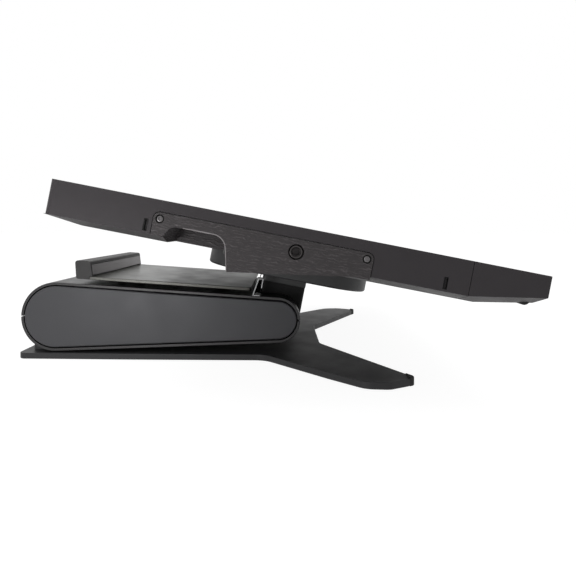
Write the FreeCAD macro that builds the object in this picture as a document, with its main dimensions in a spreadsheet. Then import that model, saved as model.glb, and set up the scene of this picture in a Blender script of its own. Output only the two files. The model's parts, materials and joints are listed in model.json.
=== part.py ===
"""Pen display with a screen, carried on a base plate by a lifting arm and a tilting neck.

Millimetres. +X is the user's right, +Y points away from the user, +Z is up. The origin is on the
desk, at the middle of the object's footprint. The display, the neck and the pieces inside them are
drawn square to the screen, in a head frame with its origin on the tilt axis, and are then placed
at the screen's tilt. The shelf is drawn the same way, square to the arm's top face.
"""
import FreeCAD, Part
import math
import os
import re
import Sketcher

DOC = FreeCAD.newDocument("PenDisplayOnArmStand")

SIZES = {
    "Axes and tilt": {
        "display_tilt": 11.07,
        "tilt_axis_y": -45.5,
        "tilt_axis_z": 44.5,
        "lift_axis_y": 208.55,
        "lift_axis_z": 48.6,
    },
    "Base plate": {
        "foot_height": 1.2,
        "foot_radius": 9.0,
        "plate_level": 8.0,
        "plate_undercut": 0.8,
        "plate_rear_y": 249.78,
        "plate_rear_half": 108.5,
        "waist_y": 130.0,
        "waist_half": 113.0,
        "shoulder_y": -31.0,
        "shoulder_half": 117.0,
        "leg_root_y": -46.2,
        "leg_root_half": 134.5,
        "leg_knee_y": -95.0,
        "leg_knee_half": 189.6,
        "leg_side_y": -127.0,
        "leg_side_half": 223.0,
        "leg_tip_y": -150.0,
        "leg_tip_half": 225.0,
        "leg_nose_y": -178.2,
        "leg_nose_half": 209.0,
        "notch_y": -97.0,
        "notch_half": 57.0,
        "rear_corner_radius": 7.0,
        "crotch_radius": 24.0,
        "leg_corner_radius": 7.0,
        "shoulder_radius": 25.0,
        "cap_depth": 7.7,
        "cap_rise": 1.2,
        "foot_margin": 18.0,
    },
    "Hinge pedestal": {
        "lug_thick": 14.0,
        "lug_reach": 15.5,
        "lug_radius": 17.0,
        "cradle_inset": 16.0,
        "cradle_start": 2.0,
        "cradle_rear": 31.0,
        "cradle_height": 15.0,
        "cradle_gap": 1.2,
        "lift_axle_radius": 8.0,
        "axle_over": 5.0,
        "spring_radius": 25.0,
        "spring_inner": 5.0,
        "spring_gap": 1.0,
        "spring_groove": 1.2,
        "groove_depth": 1.5,
        "pedestal_screw_radius": 2.5,
        "pedestal_screw_head": 4.6,
        "pedestal_screw_sink": 3.0,
        "pedestal_screw_length": 22.0,
    },
    "Timing belt": {
        "rear_pulley_radius": 24.0,
        "front_pulley_radius": 15.0,
        "pulley_gap": 0.9,
        "pulley_seat": 2.0,
        "pulley_width": 8.0,
        "belt_inset": 0.5,
        "belt_gap": 0.3,
        "belt_thick": 1.6,
    },
    "Arm": {
        "arm_half": 106.0,
        "arm_rear_radius": 39.3,
        "arm_front_radius": 26.0,
        "arm_wall": 3.2,
        "parting_gap": 0.9,
        "side_gap": 1.1,
        "side_proud": 1.0,
        "side_skin": 3.0,
        "side_edge": 1.6,
        "frame_gap": 2.0,
        "frame_plate": 5.0,
        "tube_radius": 8.0,
        "fork_half": 72.6,
        "fork_back": 29.5,
        "fork_liner": 2.5,
        "slot_gap": 1.5,
        "bush_wall": 3.0,
        "bush_width": 6.0,
        "bush_gap": 0.05,
    },
    "Shelf": {
        "shelf_gap": 5.6,
        "shelf_thick": 3.5,
        "shelf_front": 221.0,
        "shelf_rear": 17.6,
        "shelf_corner": 6.0,
        "lip_top": 17.5,
        "lip_back_lean": 2.8,
        "lip_seat": 3.0,
        "lip_thick": 18.3,
        "lip_lean": 3.3,
        "lip_round": 3.0,
        "lip_end": 0.4,
        "pad_thick": 1.6,
        "pad_margin": 2.5,
        "pad_edge": 1.2,
        "post_radius": 5.0,
        "post_inset": 60.0,
        "clip_strip": 1.3,
        "clip_width": 12.0,
        "clip_gap": 1.7,
        "clip_foot": 8.7,
        "clip_lean": 5.5,
        "clip_reach": 11.9,
        "clip_height": 20.6,
        "clip_tail": 10.0,
    },
    "Neck": {
        "head_axle_radius": 7.0,
        "neck_gap": 2.6,
        "neck_reach": 26.3,
        "neck_wall": 3.0,
        "neck_corner": 4.0,
        "neck_top": 38.3,
        "flange_over": 0.4,
        "ear_gap": 7.0,
        "ear_thick": 10.0,
        "ear_radius": 18.0,
        "washer_thick": 1.6,
        "washer_radius": 14.0,
        "spindle_radius": 16.0,
        "thread_radius": 10.0,
        "nut_radius": 20.0,
        "nut_height": 6.0,
        "turn_gap": 0.5,
        "running_gap": 0.05,
    },
    "Head housing": {
        "hump_level": 48.4,
        "hump_half_width": 113.0,
        "hump_front": 97.5,
        "hump_rear": 94.0,
        "hump_wall": 3.0,
        "hump_corner": 48.0,
        "hump_edge": 2.5,
        "hub_radius": 44.0,
        "hub_wall": 4.0,
        "hub_floor": 8.0,
        "mount_plate_half": 72.0,
        "mount_plate_reach": 66.2,
        "mount_plate_thick": 4.0,
        "mount_pitch": 100.0,
        "mount_screw_radius": 2.5,
        "mount_screw_head": 4.6,
        "mount_head_height": 3.4,
        "mount_screw_depth": 8.0,
        "boss_radius": 7.0,
    },
    "Display": {
        "display_width": 638.0,
        "display_front": 187.1,
        "display_rear": 191.8,
        "screen_level": 107.6,
        "side_height": 26.3,
        "pillow_depth": 5.0,
        "pillow_inset": 22.0,
        "case_wall": 2.6,
        "case_corner": 6.0,
        "seam_front": 128.7,
        "seam_gap": 0.4,
        "front_face": 16.5,
        "front_drop": 6.6,
        "wedge_start": 141.0,
        "glass_thick": 1.8,
        "glass_gap": 0.25,
        "panel_margin": 16.0,
        "panel_thick": 3.2,
        "backlight_thick": 6.6,
        "sensor_thick": 2.0,
        "chassis_thick": 2.0,
        "chassis_front_gap": 8.5,
        "slot_rear_y": 115.7,
        "slot_front_y": -110.3,
        "slot_width": 3.2,
        "slot_top": 15.4,
        "slot_height": 9.3,
        "slot_depth": 1.8,
        "foot_bar_back": 8.1,
        "foot_bar_radius": 4.6,
        "foot_bar_proud": 1.3,
        "foot_bar_length": 50.0,
        "foot_bar_inset": 44.0,
    },
    "Side grips": {
        "grip_proud": 0.6,
        "grip_rear": 111.2,
        "grip_front": 55.2,
        "grip_top": 8.6,
        "grip_gap": 0.5,
        "grip_corner": 5.0,
        "grip_nose": 41.7,
        "grip_nose_drop": 2.3,
        "horn_y": 50.2,
        "horn_level": 64.6,
        "horn_start": 22.0,
        "horn_edge": 4.5,
        "arch_front": 56.0,
        "arch_rear": 97.0,
        "arch_foot": 101.6,
        "arch_rise": 13.5,
        "arch_front_radius": 11.0,
        "arch_rear_radius": 8.0,
        "arch_foot_radius": 5.0,
        "grip_depth": 57.0,
        "grip_skin": 2.0,
        "insert_y": 2.5,
        "insert_z": 88.9,
        "insert_radius": 5.9,
        "insert_bore": 2.8,
        "insert_length": 9.0,
        "grip_screw_rear_y": 105.9,
        "grip_screw_front_y": -49.9,
        "grip_screw_z": 93.7,
        "grip_screw_recess": 3.3,
        "grip_screw_sink": 1.3,
        "grip_screw_proud": 0.8,
        "grip_screw_head": 2.4,
        "grip_screw_shank": 1.3,
        "grip_screw_length": 6.0,
    },
    "Express keys": {
        "key_inset": 9.0,
        "key_wall_back": 1.6,
        "key_block_depth": 13.0,
        "key_pitch": 12.6,
        "key_width": 10.4,
        "key_height": 7.4,
        "key_centre_z": 81.0,
        "key_depth": 6.2,
        "key_proud": 1.3,
        "key_travel": 1.0,
        "key_gap": 0.35,
        "key_board_thick": 1.6,
        "key_dome": 2.2,
        "key_dome_height": 1.9,
    },
    "Inside the display": {
        "board_half_width": 95.0,
        "board_depth": 66.0,
        "board_rear_gap": 13.2,
        "board_level": 84.0,
        "board_thick": 1.6,
        "board_post_inset": 6.0,
        "chip_height": 2.0,
        "large_chip": 24.0,
        "middle_chip": 18.0,
        "small_chip": 16.0,
        "power_board_gap": 24.4,
        "power_board_width": 102.0,
        "coil_radius": 7.0,
        "coil_height": 4.0,
        "coil_pitch": 30.0,
        "port_half": 60.0,
        "port_depth": 9.0,
        "port_top": 94.0,
        "port_height": 8.0,
        "port_width": 9.0,
        "port_slot": 3.4,
        "port_step": 25.2,
        "port_proud": 1.2,
        "inlet_step": 50.4,
        "fan_inset": 139.0,
        "fan_y": 50.0,
        "fan_half": 30.0,
        "fan_height": 11.0,
        "fan_wall": 1.5,
        "fan_bore": 26.0,
        "rotor_radius": 24.5,
        "rotor_hub": 10.0,
        "rotor_plate": 1.0,
        "blade_thick": 1.0,
        "fan_spider": 6.0,
        "fan_pin": 1.5,
        "vent_width": 3.0,
        "vent_length": 34.0,
        "vent_pitch": 7.0,
        "button_inset": 64.0,
        "button_z": 95.0,
        "button_radius": 4.0,
        "button_proud": 0.6,
        "button_depth": 6.0,
        "button_travel": 0.8,
        "button_gap": 0.3,
    },
}

DERIVED = {
    "display_half": "display_width/2",
    "inner_half": "display_half - case_wall",
    "side_level": "screen_level - side_height",
    "back_level": "side_level - pillow_depth",
    "glass_under": "screen_level - glass_thick",
    "panel_under": "glass_under - panel_thick",
    "backlight_under": "panel_under - backlight_thick",
    "sensor_under": "backlight_under - sensor_thick",
    "chassis_under": "sensor_under - chassis_thick",
    "panel_half": "inner_half - panel_margin",
    "panel_front": "-display_front + case_wall + panel_margin",
    "panel_rear": "display_rear - case_wall - panel_margin",
    "back_skin": "back_level + case_wall",
    "front_under": "screen_level - front_face",
    "front_low": "front_under - front_drop",
    "wedge_slope": "(front_low - back_level)/(display_front - wedge_start)",
    "side_slope": "(front_under - side_level)/(display_front - seam_front)",
    "foot_bar_half": "display_half - foot_bar_inset",
    "foot_bar_y": "display_front - foot_bar_back",
    "chassis_front": "display_front - case_wall - chassis_front_gap",
    "fan_x": "display_half - fan_inset",
    "button_x": "display_half - button_inset",
    "board_rear": "display_rear - case_wall - board_rear_gap",
    "board_front": "board_rear - board_depth",
    "power_board_end": "inner_half - power_board_gap",
    "power_board_start": "power_board_end - power_board_width",
    "grip_face": "display_half + grip_proud",
    "grip_inner": "display_half - grip_depth",
    "grip_top_level": "screen_level - grip_top",
    "grip_nose_level": "side_level - grip_nose_drop",
    "horn_slope": "(grip_nose_level - horn_level)/(horn_y + grip_nose)",
    "horn_mid_level": "horn_level + (horn_y + horn_start)*horn_slope",
    "arch_top": "back_level + arch_rise",
    "key_wall": "arch_front - key_wall_back",
    "plate_under": "foot_height",
    "pulley_start": "fork_half + fork_liner + pulley_gap",
    "pulley_end": "pulley_start + pulley_width",
    "lug_outer": "pulley_start - pulley_seat",
    "lug_inner": "lug_outer - lug_thick",
    "spring_outer": "lug_inner - spring_gap",
    "frame_inner": "pulley_end + frame_gap",
    "frame_face": "frame_inner + frame_plate",
    "axle_half": "frame_face + axle_over",
    "cradle_half": "arm_half - cradle_inset",
    "neck_half": "fork_half - neck_gap",
    "ear_outer": "neck_half - neck_wall - ear_gap",
    "shelf_half": "arm_half",
    "lip_foot": "shelf_rear + lip_thick + lip_lean",
    "lip_brow": "shelf_rear + lip_thick",
    "shelf_end": "lip_foot - lip_seat",
    "side_inset": "arm_wall + side_gap",
    "side_face": "arm_half + side_proud",
    "shelf_under": "arm_rear_radius + shelf_gap",
    "shelf_top": "shelf_under + shelf_thick",
    "lip_level": "shelf_top + lip_top",
    "neck_flange": "hump_level - turn_gap",
    "hump_floor": "hump_level + hump_wall",
    "hub_top": "hump_floor + hub_floor",
    "mount_under": "back_level - mount_plate_thick",
    "fan_floor": "back_skin",
    "axis_run": "lift_axis_y - tilt_axis_y",
    "axis_rise": "lift_axis_z - tilt_axis_z",
    "axis_distance": "sqrt(axis_run^2 + axis_rise^2)",
    "arm_top_slope": "asin((arm_rear_radius - arm_front_radius)/axis_distance) + atan(axis_rise/axis_run)",
}

SHEET = DOC.addObject("Spreadsheet::Sheet", "Sizes")
ALIASES = set()
PARTS = {}


def fill_sheet():
    """Write every driving size into the sheet, one row each, under its group's heading."""
    row = 1
    for group, sizes in SIZES.items():
        SHEET.set(f"A{row}", group)
        row += 1
        for alias, value in sizes.items():
            SHEET.set(f"A{row}", alias.replace("_", " "))
            SHEET.set(f"B{row}", str(value))
            SHEET.setAlias(f"B{row}", alias)
            ALIASES.add(alias)
            row += 1
    DOC.recompute()


fill_sheet()
PROBE = DOC.addObject("App::FeaturePython", "Probe")


def bound(text):
    """Turn a size written in plain words into an expression on the sheet's cells."""
    def replace(match):
        word = match.group()
        if word in DERIVED:
            return f"({bound(DERIVED[word])})"
        return f"Sizes.{word}" if word in ALIASES else word
    return re.sub(r"[a-z][a-z_]+", replace, str(text))


def value(text):
    """Read the present number of a size or of a sum of sizes."""
    result = PROBE.evalExpression(bound(text))
    return float(getattr(result, "Value", result))


def bind(obj, **properties):
    """Bind properties to sizes; a double underscore in a name stands for a dot."""
    for name, text in properties.items():
        obj.setExpression(name.replace("__", "."), bound(text))


def box(name, across, along, up):
    """A block given by its two limits along X, Y and Z."""
    block = DOC.addObject("Part::Box", name)
    bind(block, Length=f"{across[1]} - ({across[0]})", Width=f"{along[1]} - ({along[0]})",
         Height=f"{up[1]} - ({up[0]})", Placement__Base__x=across[0], Placement__Base__y=along[0],
         Placement__Base__z=up[0])
    return block


TURN_TO = {
    "x": FreeCAD.Rotation(FreeCAD.Vector(0, 1, 0), 90),
    "y": FreeCAD.Rotation(FreeCAD.Vector(1, 0, 0), -90),
    "z": FreeCAD.Rotation(),
}


def rod(name, axis, radius, span, centre):
    """A cylinder along an axis, from span[0] to span[1], with its centre on the other two axes."""
    cylinder = DOC.addObject("Part::Cylinder", name)
    cylinder.Placement = FreeCAD.Placement(FreeCAD.Vector(), TURN_TO[axis])
    others = [letter for letter in "xyz" if letter != axis]
    bind(cylinder, Radius=radius, Height=f"{span[1]} - ({span[0]})")
    cylinder.setExpression(f"Placement.Base.{axis}", bound(span[0]))
    for letter, place in zip(others, centre):
        cylinder.setExpression(f"Placement.Base.{letter}", bound(place))
    return cylinder


def fuse(name, *pieces):
    """Several solids as one."""
    joined = DOC.addObject("Part::MultiFuse", name)
    joined.Shapes = list(pieces)
    return joined


def cut(name, base, *tools):
    """The base without the tools."""
    result = DOC.addObject("Part::Cut", name)
    result.Base = base
    result.Tool = tools[0] if len(tools) == 1 else fuse(f"{name}_tools", *tools)
    return result


def common(name, *pieces):
    """What all the pieces share."""
    result = DOC.addObject("Part::MultiCommon", name)
    result.Shapes = list(pieces)
    return result


def mirrored(name, source):
    """The same piece on the user's other side."""
    twin = DOC.addObject("Part::Mirroring", name)
    twin.Source = source
    twin.Normal = FreeCAD.Vector(1, 0, 0)
    return twin


def pin_point(sketch, geometry, end, point):
    """Tie one end of a sketch line to its bound place."""
    for kind, place in zip(("DistanceX", "DistanceY"), point):
        if str(place) == "0":
            axis = -2 if kind == "DistanceX" else -1
            sketch.addConstraint(Sketcher.Constraint("PointOnObject", geometry, end, axis))
            continue
        index = sketch.addConstraint(Sketcher.Constraint(kind, -1, 1, geometry, end, value(place)))
        sketch.setExpression(f"Constraints[{index}]", bound(place))


def draw_outline(sketch, points):
    """Draw a closed outline of straight lines through bound corners."""
    places = [FreeCAD.Vector(value(x), value(y), 0) for x, y in points]
    count = len(points)
    for index in range(count):
        sketch.addGeometry(Part.LineSegment(places[index], places[(index + 1) % count]), False)
    for index in range(count):
        sketch.addConstraint(Sketcher.Constraint("Coincident", index, 2, (index + 1) % count, 1))
    for index, point in enumerate(points):
        pin_point(sketch, index, 1, point)


def draw_belt_outline(sketch, rear_radius, front_radius):
    """Draw the outline round both arm axes: two arcs joined by the lines that touch them."""
    rear = FreeCAD.Vector(value("lift_axis_y"), value("lift_axis_z"), 0)
    front = FreeCAD.Vector(value("tilt_axis_y"), value("tilt_axis_z"), 0)
    run = front - rear
    heading = math.atan2(run.y, run.x)
    spread = math.acos((value(rear_radius) - value(front_radius)) / run.Length)
    up = FreeCAD.Vector(0, 0, 1)
    rear_arc = Part.ArcOfCircle(Part.Circle(rear, up, value(rear_radius)),
                                heading + spread, heading - spread + 2 * math.pi)
    front_arc = Part.ArcOfCircle(Part.Circle(front, up, value(front_radius)),
                                 heading - spread, heading + spread)
    under = Part.LineSegment(rear_arc.StartPoint, front_arc.EndPoint)
    over = Part.LineSegment(front_arc.StartPoint, rear_arc.EndPoint)
    for curve in (rear_arc, under, front_arc, over):
        sketch.addGeometry(curve, False)
    joints = ((0, 1, 1, 1), (1, 2, 2, 2), (2, 1, 3, 1), (3, 2, 0, 2))
    for joint in joints:
        sketch.addConstraint(Sketcher.Constraint("Tangent", *joint))
    for geometry, centre in ((0, ("lift_axis_y", "lift_axis_z")), (2, ("tilt_axis_y", "tilt_axis_z"))):
        pin_point(sketch, geometry, 3, centre)
    for geometry, radius in ((0, rear_radius), (2, front_radius)):
        index = sketch.addConstraint(Sketcher.Constraint("Radius", geometry, value(radius)))
        sketch.setExpression(f"Constraints[{index}]", bound(radius))


PLANES = {
    "yz": FreeCAD.Rotation(FreeCAD.Vector(1, 1, 1), 120),
    "xy": FreeCAD.Rotation(),
}


def sketch_at(name, plane, start):
    """An empty sketch on a plane across X or Z, at a bound place along that axis."""
    sketch = DOC.addObject("Sketcher::SketchObject", name)
    sketch.Placement = FreeCAD.Placement(FreeCAD.Vector(), PLANES[plane])
    axis = "x" if plane == "yz" else "z"
    sketch.setExpression(f"Placement.Base.{axis}", bound(start))
    return sketch


def extruded(name, sketch, length):
    """A sketch pushed out along its normal."""
    solid = DOC.addObject("Part::Extrusion", name)
    solid.Base = sketch
    solid.DirMode = "Normal"
    solid.Solid = True
    bind(solid, LengthFwd=length)
    return solid


def prism(name, plane, points, span):
    """A straight-sided solid with the outline given, from span[0] to span[1] along the normal."""
    sketch = sketch_at(f"{name}_outline", plane, span[0])
    draw_outline(sketch, points)
    return extruded(name, sketch, f"{span[1]} - ({span[0]})")


def arm_prism(name, rear_radius, front_radius, span):
    """A solid with the arm's own outline round its two axes."""
    sketch = sketch_at(f"{name}_outline", "yz", span[0])
    draw_belt_outline(sketch, rear_radius, front_radius)
    return extruded(name, sketch, f"{span[1]} - ({span[0]})")


def is_along(edge, axis):
    """Whether an edge is straight and parallel to an axis."""
    if not isinstance(edge.Curve, Part.Line):
        return False
    return math.isclose(abs(getattr(edge.Curve.Direction, axis)), 1, rel_tol=1e-3)


def rounded(name, source, radius, wanted):
    """The source with the wanted edges rounded; the radius is kept within its wall."""
    DOC.recompute()
    result = DOC.addObject("Part::Fillet", name)
    result.Base = source
    size = value(radius)
    numbers = [index for index, edge in enumerate(source.Shape.Edges, 1) if wanted(edge)]
    result.Edges = [(number, size, size) for number in numbers]
    return result


class Body:
    """A PartDesign body that is built up feature by feature on its own origin planes."""

    ROLES = {"xy": "XY_Plane", "yz": "YZ_Plane"}

    def __init__(self, name):
        self.body = DOC.addObject("PartDesign::Body", name)
        self.name = name
        self.count = 0

    def sketch(self, plane, start):
        """An empty sketch on an origin plane, lifted to a bound place along its normal."""
        self.count += 1
        sketch = self.body.newObject("Sketcher::SketchObject", f"{self.name}_sketch{self.count}")
        planes = [item for item in self.body.Origin.OriginFeatures if item.Role == self.ROLES[plane]]
        sketch.AttachmentSupport = (planes[0], [""])
        sketch.MapMode = "FlatFace"
        sketch.setExpression("AttachmentOffset.Base.z", bound(start))
        return sketch

    def pad(self, plane, points, span):
        """Add material inside an outline from span[0] to span[1]."""
        sketch = self.sketch(plane, span[0])
        draw_outline(sketch, points)
        return self.push("Pad", sketch, span)

    def pocket(self, plane, points, span):
        """Take material away inside an outline from span[0] to span[1]."""
        sketch = self.sketch(plane, span[0])
        draw_outline(sketch, points)
        before = self.volume()
        feature = self.push("Pocket", sketch, span)
        feature.Reversed = True
        DOC.recompute()
        if self.volume() >= before:
            raise ValueError(f"{self.name}: a pocket cuts nothing")
        return feature

    def push(self, kind, sketch, span):
        """Make a pad or a pocket from a sketch."""
        feature = self.body.newObject(f"PartDesign::{kind}", f"{self.name}_{kind.lower()}{self.count}")
        feature.Profile = sketch
        bind(feature, Length=f"{span[1]} - ({span[0]})")
        DOC.recompute()
        return feature

    def edge_feature(self, kind, wanted, **sizes):
        """Round or bevel the edges that pass the test."""
        self.count += 1
        base = self.body.Tip
        names = [f"Edge{index}" for index, edge in enumerate(base.Shape.Edges, 1) if wanted(edge)]
        feature = self.body.newObject(f"PartDesign::{kind}", f"{self.name}_{kind.lower()}{self.count}")
        feature.Base = (base, names)
        bind(feature, **sizes)
        DOC.recompute()
        return feature

    def volume(self):
        """The body's volume so far."""
        return self.body.Shape.Volume


def carried(obj):
    """A plain block or cylinder as a group of one, so that it can be placed a second time."""
    if obj.TypeId not in ("Part::Box", "Part::Cylinder"):
        return obj
    group = DOC.addObject("Part::Compound", f"{obj.Name}_carried")
    group.Links = [obj]
    return group


def on_head(source):
    """Place a piece drawn in the head frame at the screen's tilt on the tilt axis."""
    obj = carried(source)
    obj.Placement = FreeCAD.Placement(FreeCAD.Vector(), FreeCAD.Rotation(FreeCAD.Vector(1, 0, 0), 10))
    bind(obj, Placement__Rotation__Angle="display_tilt", Placement__Base__y="tilt_axis_y",
         Placement__Base__z="tilt_axis_z")
    return obj


def on_arm_top(source):
    """Place a piece drawn square to the arm's top face, from the lift axis."""
    obj = carried(source)
    obj.Placement = FreeCAD.Placement(FreeCAD.Vector(), FreeCAD.Rotation(FreeCAD.Vector(1, 0, 0), 4))
    bind(obj, Placement__Rotation__Angle="arm_top_slope", Placement__Base__y="lift_axis_y",
         Placement__Base__z="lift_axis_z")
    return obj


def keep(label, obj):
    """Register a finished sub-part under the name of its node."""
    obj.Label = label
    PARTS[label] = obj
    return obj


def leg_outline():
    """The base plate's corners, the right half from the rear and then the left half back."""
    right = [
        ("plate_rear_half", "plate_rear_y"),
        ("waist_half", "waist_y"),
        ("shoulder_half", "shoulder_y"),
        ("leg_root_half", "leg_root_y"),
        ("leg_knee_half", "leg_knee_y"),
        ("leg_side_half", "leg_side_y"),
        ("leg_tip_half", "leg_tip_y"),
        ("leg_nose_half", "leg_nose_y"),
        ("notch_half", "notch_y"),
    ]
    left = [(f"-{half}", along) for half, along in reversed(right)]
    return right + left


def upright_near(half, along, reach=4.0):
    """A test for the upright edges that stand at one corner of the plate, on both sides."""
    def wanted(edge):
        middle = edge.CenterOfMass
        near = abs(abs(middle.x) - value(half)) < reach and abs(middle.y - value(along)) < reach
        return near and is_along(edge, "z")
    return wanted


def plate_blank(name, top):
    """The plate's full outline with its corners rounded, up to a level, with its leg tips on."""
    blank = Body(name)
    blank.pad("xy", leg_outline(), ("plate_under", top))
    corners = (
        ("rear_corner_radius", "plate_rear_half", "plate_rear_y"),
        ("shoulder_radius", "shoulder_half", "shoulder_y"),
        ("crotch_radius", "notch_half", "notch_y"),
        ("leg_corner_radius", "leg_nose_half", "leg_nose_y"),
        ("leg_corner_radius*2", "leg_tip_half", "leg_tip_y"),
        ("leg_corner_radius*3", "leg_side_half", "leg_side_y"),
    )
    for radius, half, along in corners:
        blank.edge_feature("Fillet", upright_near(half, along), Radius=radius)
    return blank


def on_underside(edge):
    """Whether an edge lies on the plate's underside."""
    bounds = edge.BoundBox
    return bounds.ZMax < value("plate_under") + 0.01


def on_top_of(level):
    """A test for the edges that lie at a level."""
    def wanted(edge):
        return edge.BoundBox.ZMin > value(level) - 0.01
    return wanted


def make_base_plate():
    """The steel plate with two forward legs, bevelled underneath, and its rubber leg caps."""
    blank = plate_blank("plate_blank", "plate_level")
    blank.edge_feature("Chamfer", on_underside, Size="plate_undercut")
    tips = []
    for side in ("", "-"):
        reach = ("leg_nose_half - cap_depth*4", "leg_tip_half + cap_depth")
        across = reach if side == "" else (f"-({reach[1]})", f"-({reach[0]})")
        tips.append(box("tip_zone", across, ("leg_nose_y - cap_depth", "leg_nose_y + cap_depth"),
                        ("0", "plate_level + cap_rise*2")))
    holes = []
    for across in ("-(lug_inner + lug_thick/2)", "lug_inner + lug_thick/2"):
        for along in ("lift_axis_y - lug_reach/2", "lift_axis_y + lug_reach/2"):
            holes.append(rod("screw_hole", "z", "pedestal_screw_radius",
                             ("plate_under", "plate_level"), (across, along)))
            holes.append(rod("screw_sink", "z", "pedestal_screw_head",
                             ("plate_under", "plate_under + pedestal_screw_sink"), (across, along)))
    keep("base_plate", cut("base_plate_cut", blank.body, *tips, *holes))
    cap_blank = plate_blank("cap_blank", "plate_level + cap_rise")
    cap_blank.edge_feature("Fillet", on_top_of("plate_level + cap_rise"), Radius="cap_rise*0.8")
    keep("leg_tip_caps", common("cap_fill", cap_blank.body, fuse("cap_zones", *tips)))


def make_base_feet():
    """Rubber pads under the plate, which the whole object stands on."""
    spots = (
        ("plate_rear_half - foot_margin", "plate_rear_y - foot_margin"),
        ("waist_half - foot_margin", "(waist_y + shoulder_y)/2"),
        ("leg_side_half - foot_margin", "leg_tip_y"),
    )
    pads = []
    for half, along in spots:
        for sign in ("", "-"):
            pads.append(rod("foot_pad", "z", "foot_radius", ("0", "plate_under"),
                            (f"{sign}({half})", along)))
    keep("base_feet", fuse("base_feet_fuse", *pads))


def make_pedestal():
    """The hinge pedestal: two lugs for the lift axle and a cradle under the arm's round end."""
    solids = []
    for name, across in (("right_lug", ("lug_inner", "lug_outer")), ("left_lug", ("-lug_outer", "-lug_inner"))):
        solids.append(box(name, across, ("lift_axis_y - lug_reach", "lift_axis_y + lug_reach"),
                          ("plate_level", "lift_axis_z")))
        solids.append(rod(f"{name}_eye", "x", "lug_radius", across, ("lift_axis_y", "lift_axis_z")))
    cradle = box("cradle_block", ("-cradle_half", "cradle_half"),
                 ("lift_axis_y + cradle_start", "lift_axis_y + cradle_rear"),
                 ("plate_level", "plate_level + cradle_height"))
    relief = rod("cradle_relief", "x", "arm_rear_radius + cradle_gap", ("-arm_half", "arm_half"),
                 ("lift_axis_y", "lift_axis_z"))
    cradle_cut = cut("cradle", cradle, relief)
    bore = rod("lug_bore", "x", "lift_axle_radius", ("-arm_half", "arm_half"),
               ("lift_axis_y", "lift_axis_z"))
    holes = []
    screws = []
    for across in ("-(lug_inner + lug_thick/2)", "lug_inner + lug_thick/2"):
        for along in ("lift_axis_y - lug_reach/2", "lift_axis_y + lug_reach/2"):
            top = "plate_under + pedestal_screw_length"
            holes.append(rod("lug_screw_hole", "z", "pedestal_screw_radius",
                             ("plate_level", top), (across, along)))
            shank = rod("pedestal_screw_shank", "z", "pedestal_screw_radius",
                        ("plate_under + cradle_gap/3", top), (across, along))
            head = rod("pedestal_screw_head_disc", "z", "pedestal_screw_head",
                       ("plate_under + cradle_gap/3", "plate_under + pedestal_screw_sink"), (across, along))
            screws += [shank, head]
    body = fuse("pedestal_body", *solids, cradle_cut)
    keep("hinge_pedestal", cut("hinge_pedestal_cut", body, bore, *holes))
    keep("pedestal_screws", fuse("pedestal_screws_fuse", *screws))
    keep("lift_axle", rod("lift_axle_rod", "x", "lift_axle_radius", ("-axle_half", "axle_half"),
                          ("lift_axis_y", "lift_axis_z")))


def make_lift_springs():
    """Two spring drums round the lift axle that balance the display's weight."""
    centre = ("lift_axis_y", "lift_axis_z")
    drums = []
    grooves = []
    for sign, start, end in (("", "spring_inner", "spring_outer"), ("-", "-spring_outer", "-spring_inner")):
        drums.append(rod("spring_drum", "x", "spring_radius", (start, end), centre))
        for step in (1, 2, 3, 4, 5):
            place = f"{sign}(spring_inner + (spring_outer - spring_inner)*{step}/6)"
            ring = rod("groove_ring", "x", "spring_radius + groove_depth",
                       (f"{place} - spring_groove/2", f"{place} + spring_groove/2"), centre)
            core = rod("groove_core", "x", "spring_radius - groove_depth",
                       (f"{place} - spring_groove", f"{place} + spring_groove"), centre)
            grooves.append(cut("groove", ring, core))
    bore = rod("spring_bore", "x", "lift_axle_radius", ("-arm_half", "arm_half"), centre)
    keep("lift_springs", cut("lift_springs_cut", fuse("spring_drums", *drums), bore, *grooves))


def make_timing_belt():
    """The fixed rear pulley, the pulley on the head axle and the toothed belt between them."""
    span = ("pulley_start", "pulley_end")
    rear = ("lift_axis_y", "lift_axis_z")
    front = ("tilt_axis_y", "tilt_axis_z")
    rear_disc = rod("rear_pulley_disc", "x", "rear_pulley_radius", span, rear)
    seat = rod("rear_pulley_seat", "x", "rear_pulley_radius/2", ("lug_outer", "pulley_start"), rear)
    rear_bore = rod("rear_pulley_bore", "x", "lift_axle_radius", ("0", "arm_half"), rear)
    keep("fixed_pulley", cut("fixed_pulley_cut", fuse("rear_pulley", rear_disc, seat), rear_bore))
    front_disc = rod("front_pulley_disc", "x", "front_pulley_radius", span, front)
    front_bore = rod("front_pulley_bore", "x", "head_axle_radius", ("0", "arm_half"), front)
    keep("head_pulley", cut("head_pulley_cut", front_disc, front_bore))
    belt_span = ("pulley_start + belt_inset", "pulley_end - belt_inset")
    outer = arm_prism("belt_outer", "rear_pulley_radius + belt_gap + belt_thick",
                      "front_pulley_radius + belt_gap + belt_thick", belt_span)
    inner = arm_prism("belt_inner", "rear_pulley_radius + belt_gap", "front_pulley_radius + belt_gap",
                      belt_span)
    keep("timing_belt", cut("timing_belt_cut", outer, inner))


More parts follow.
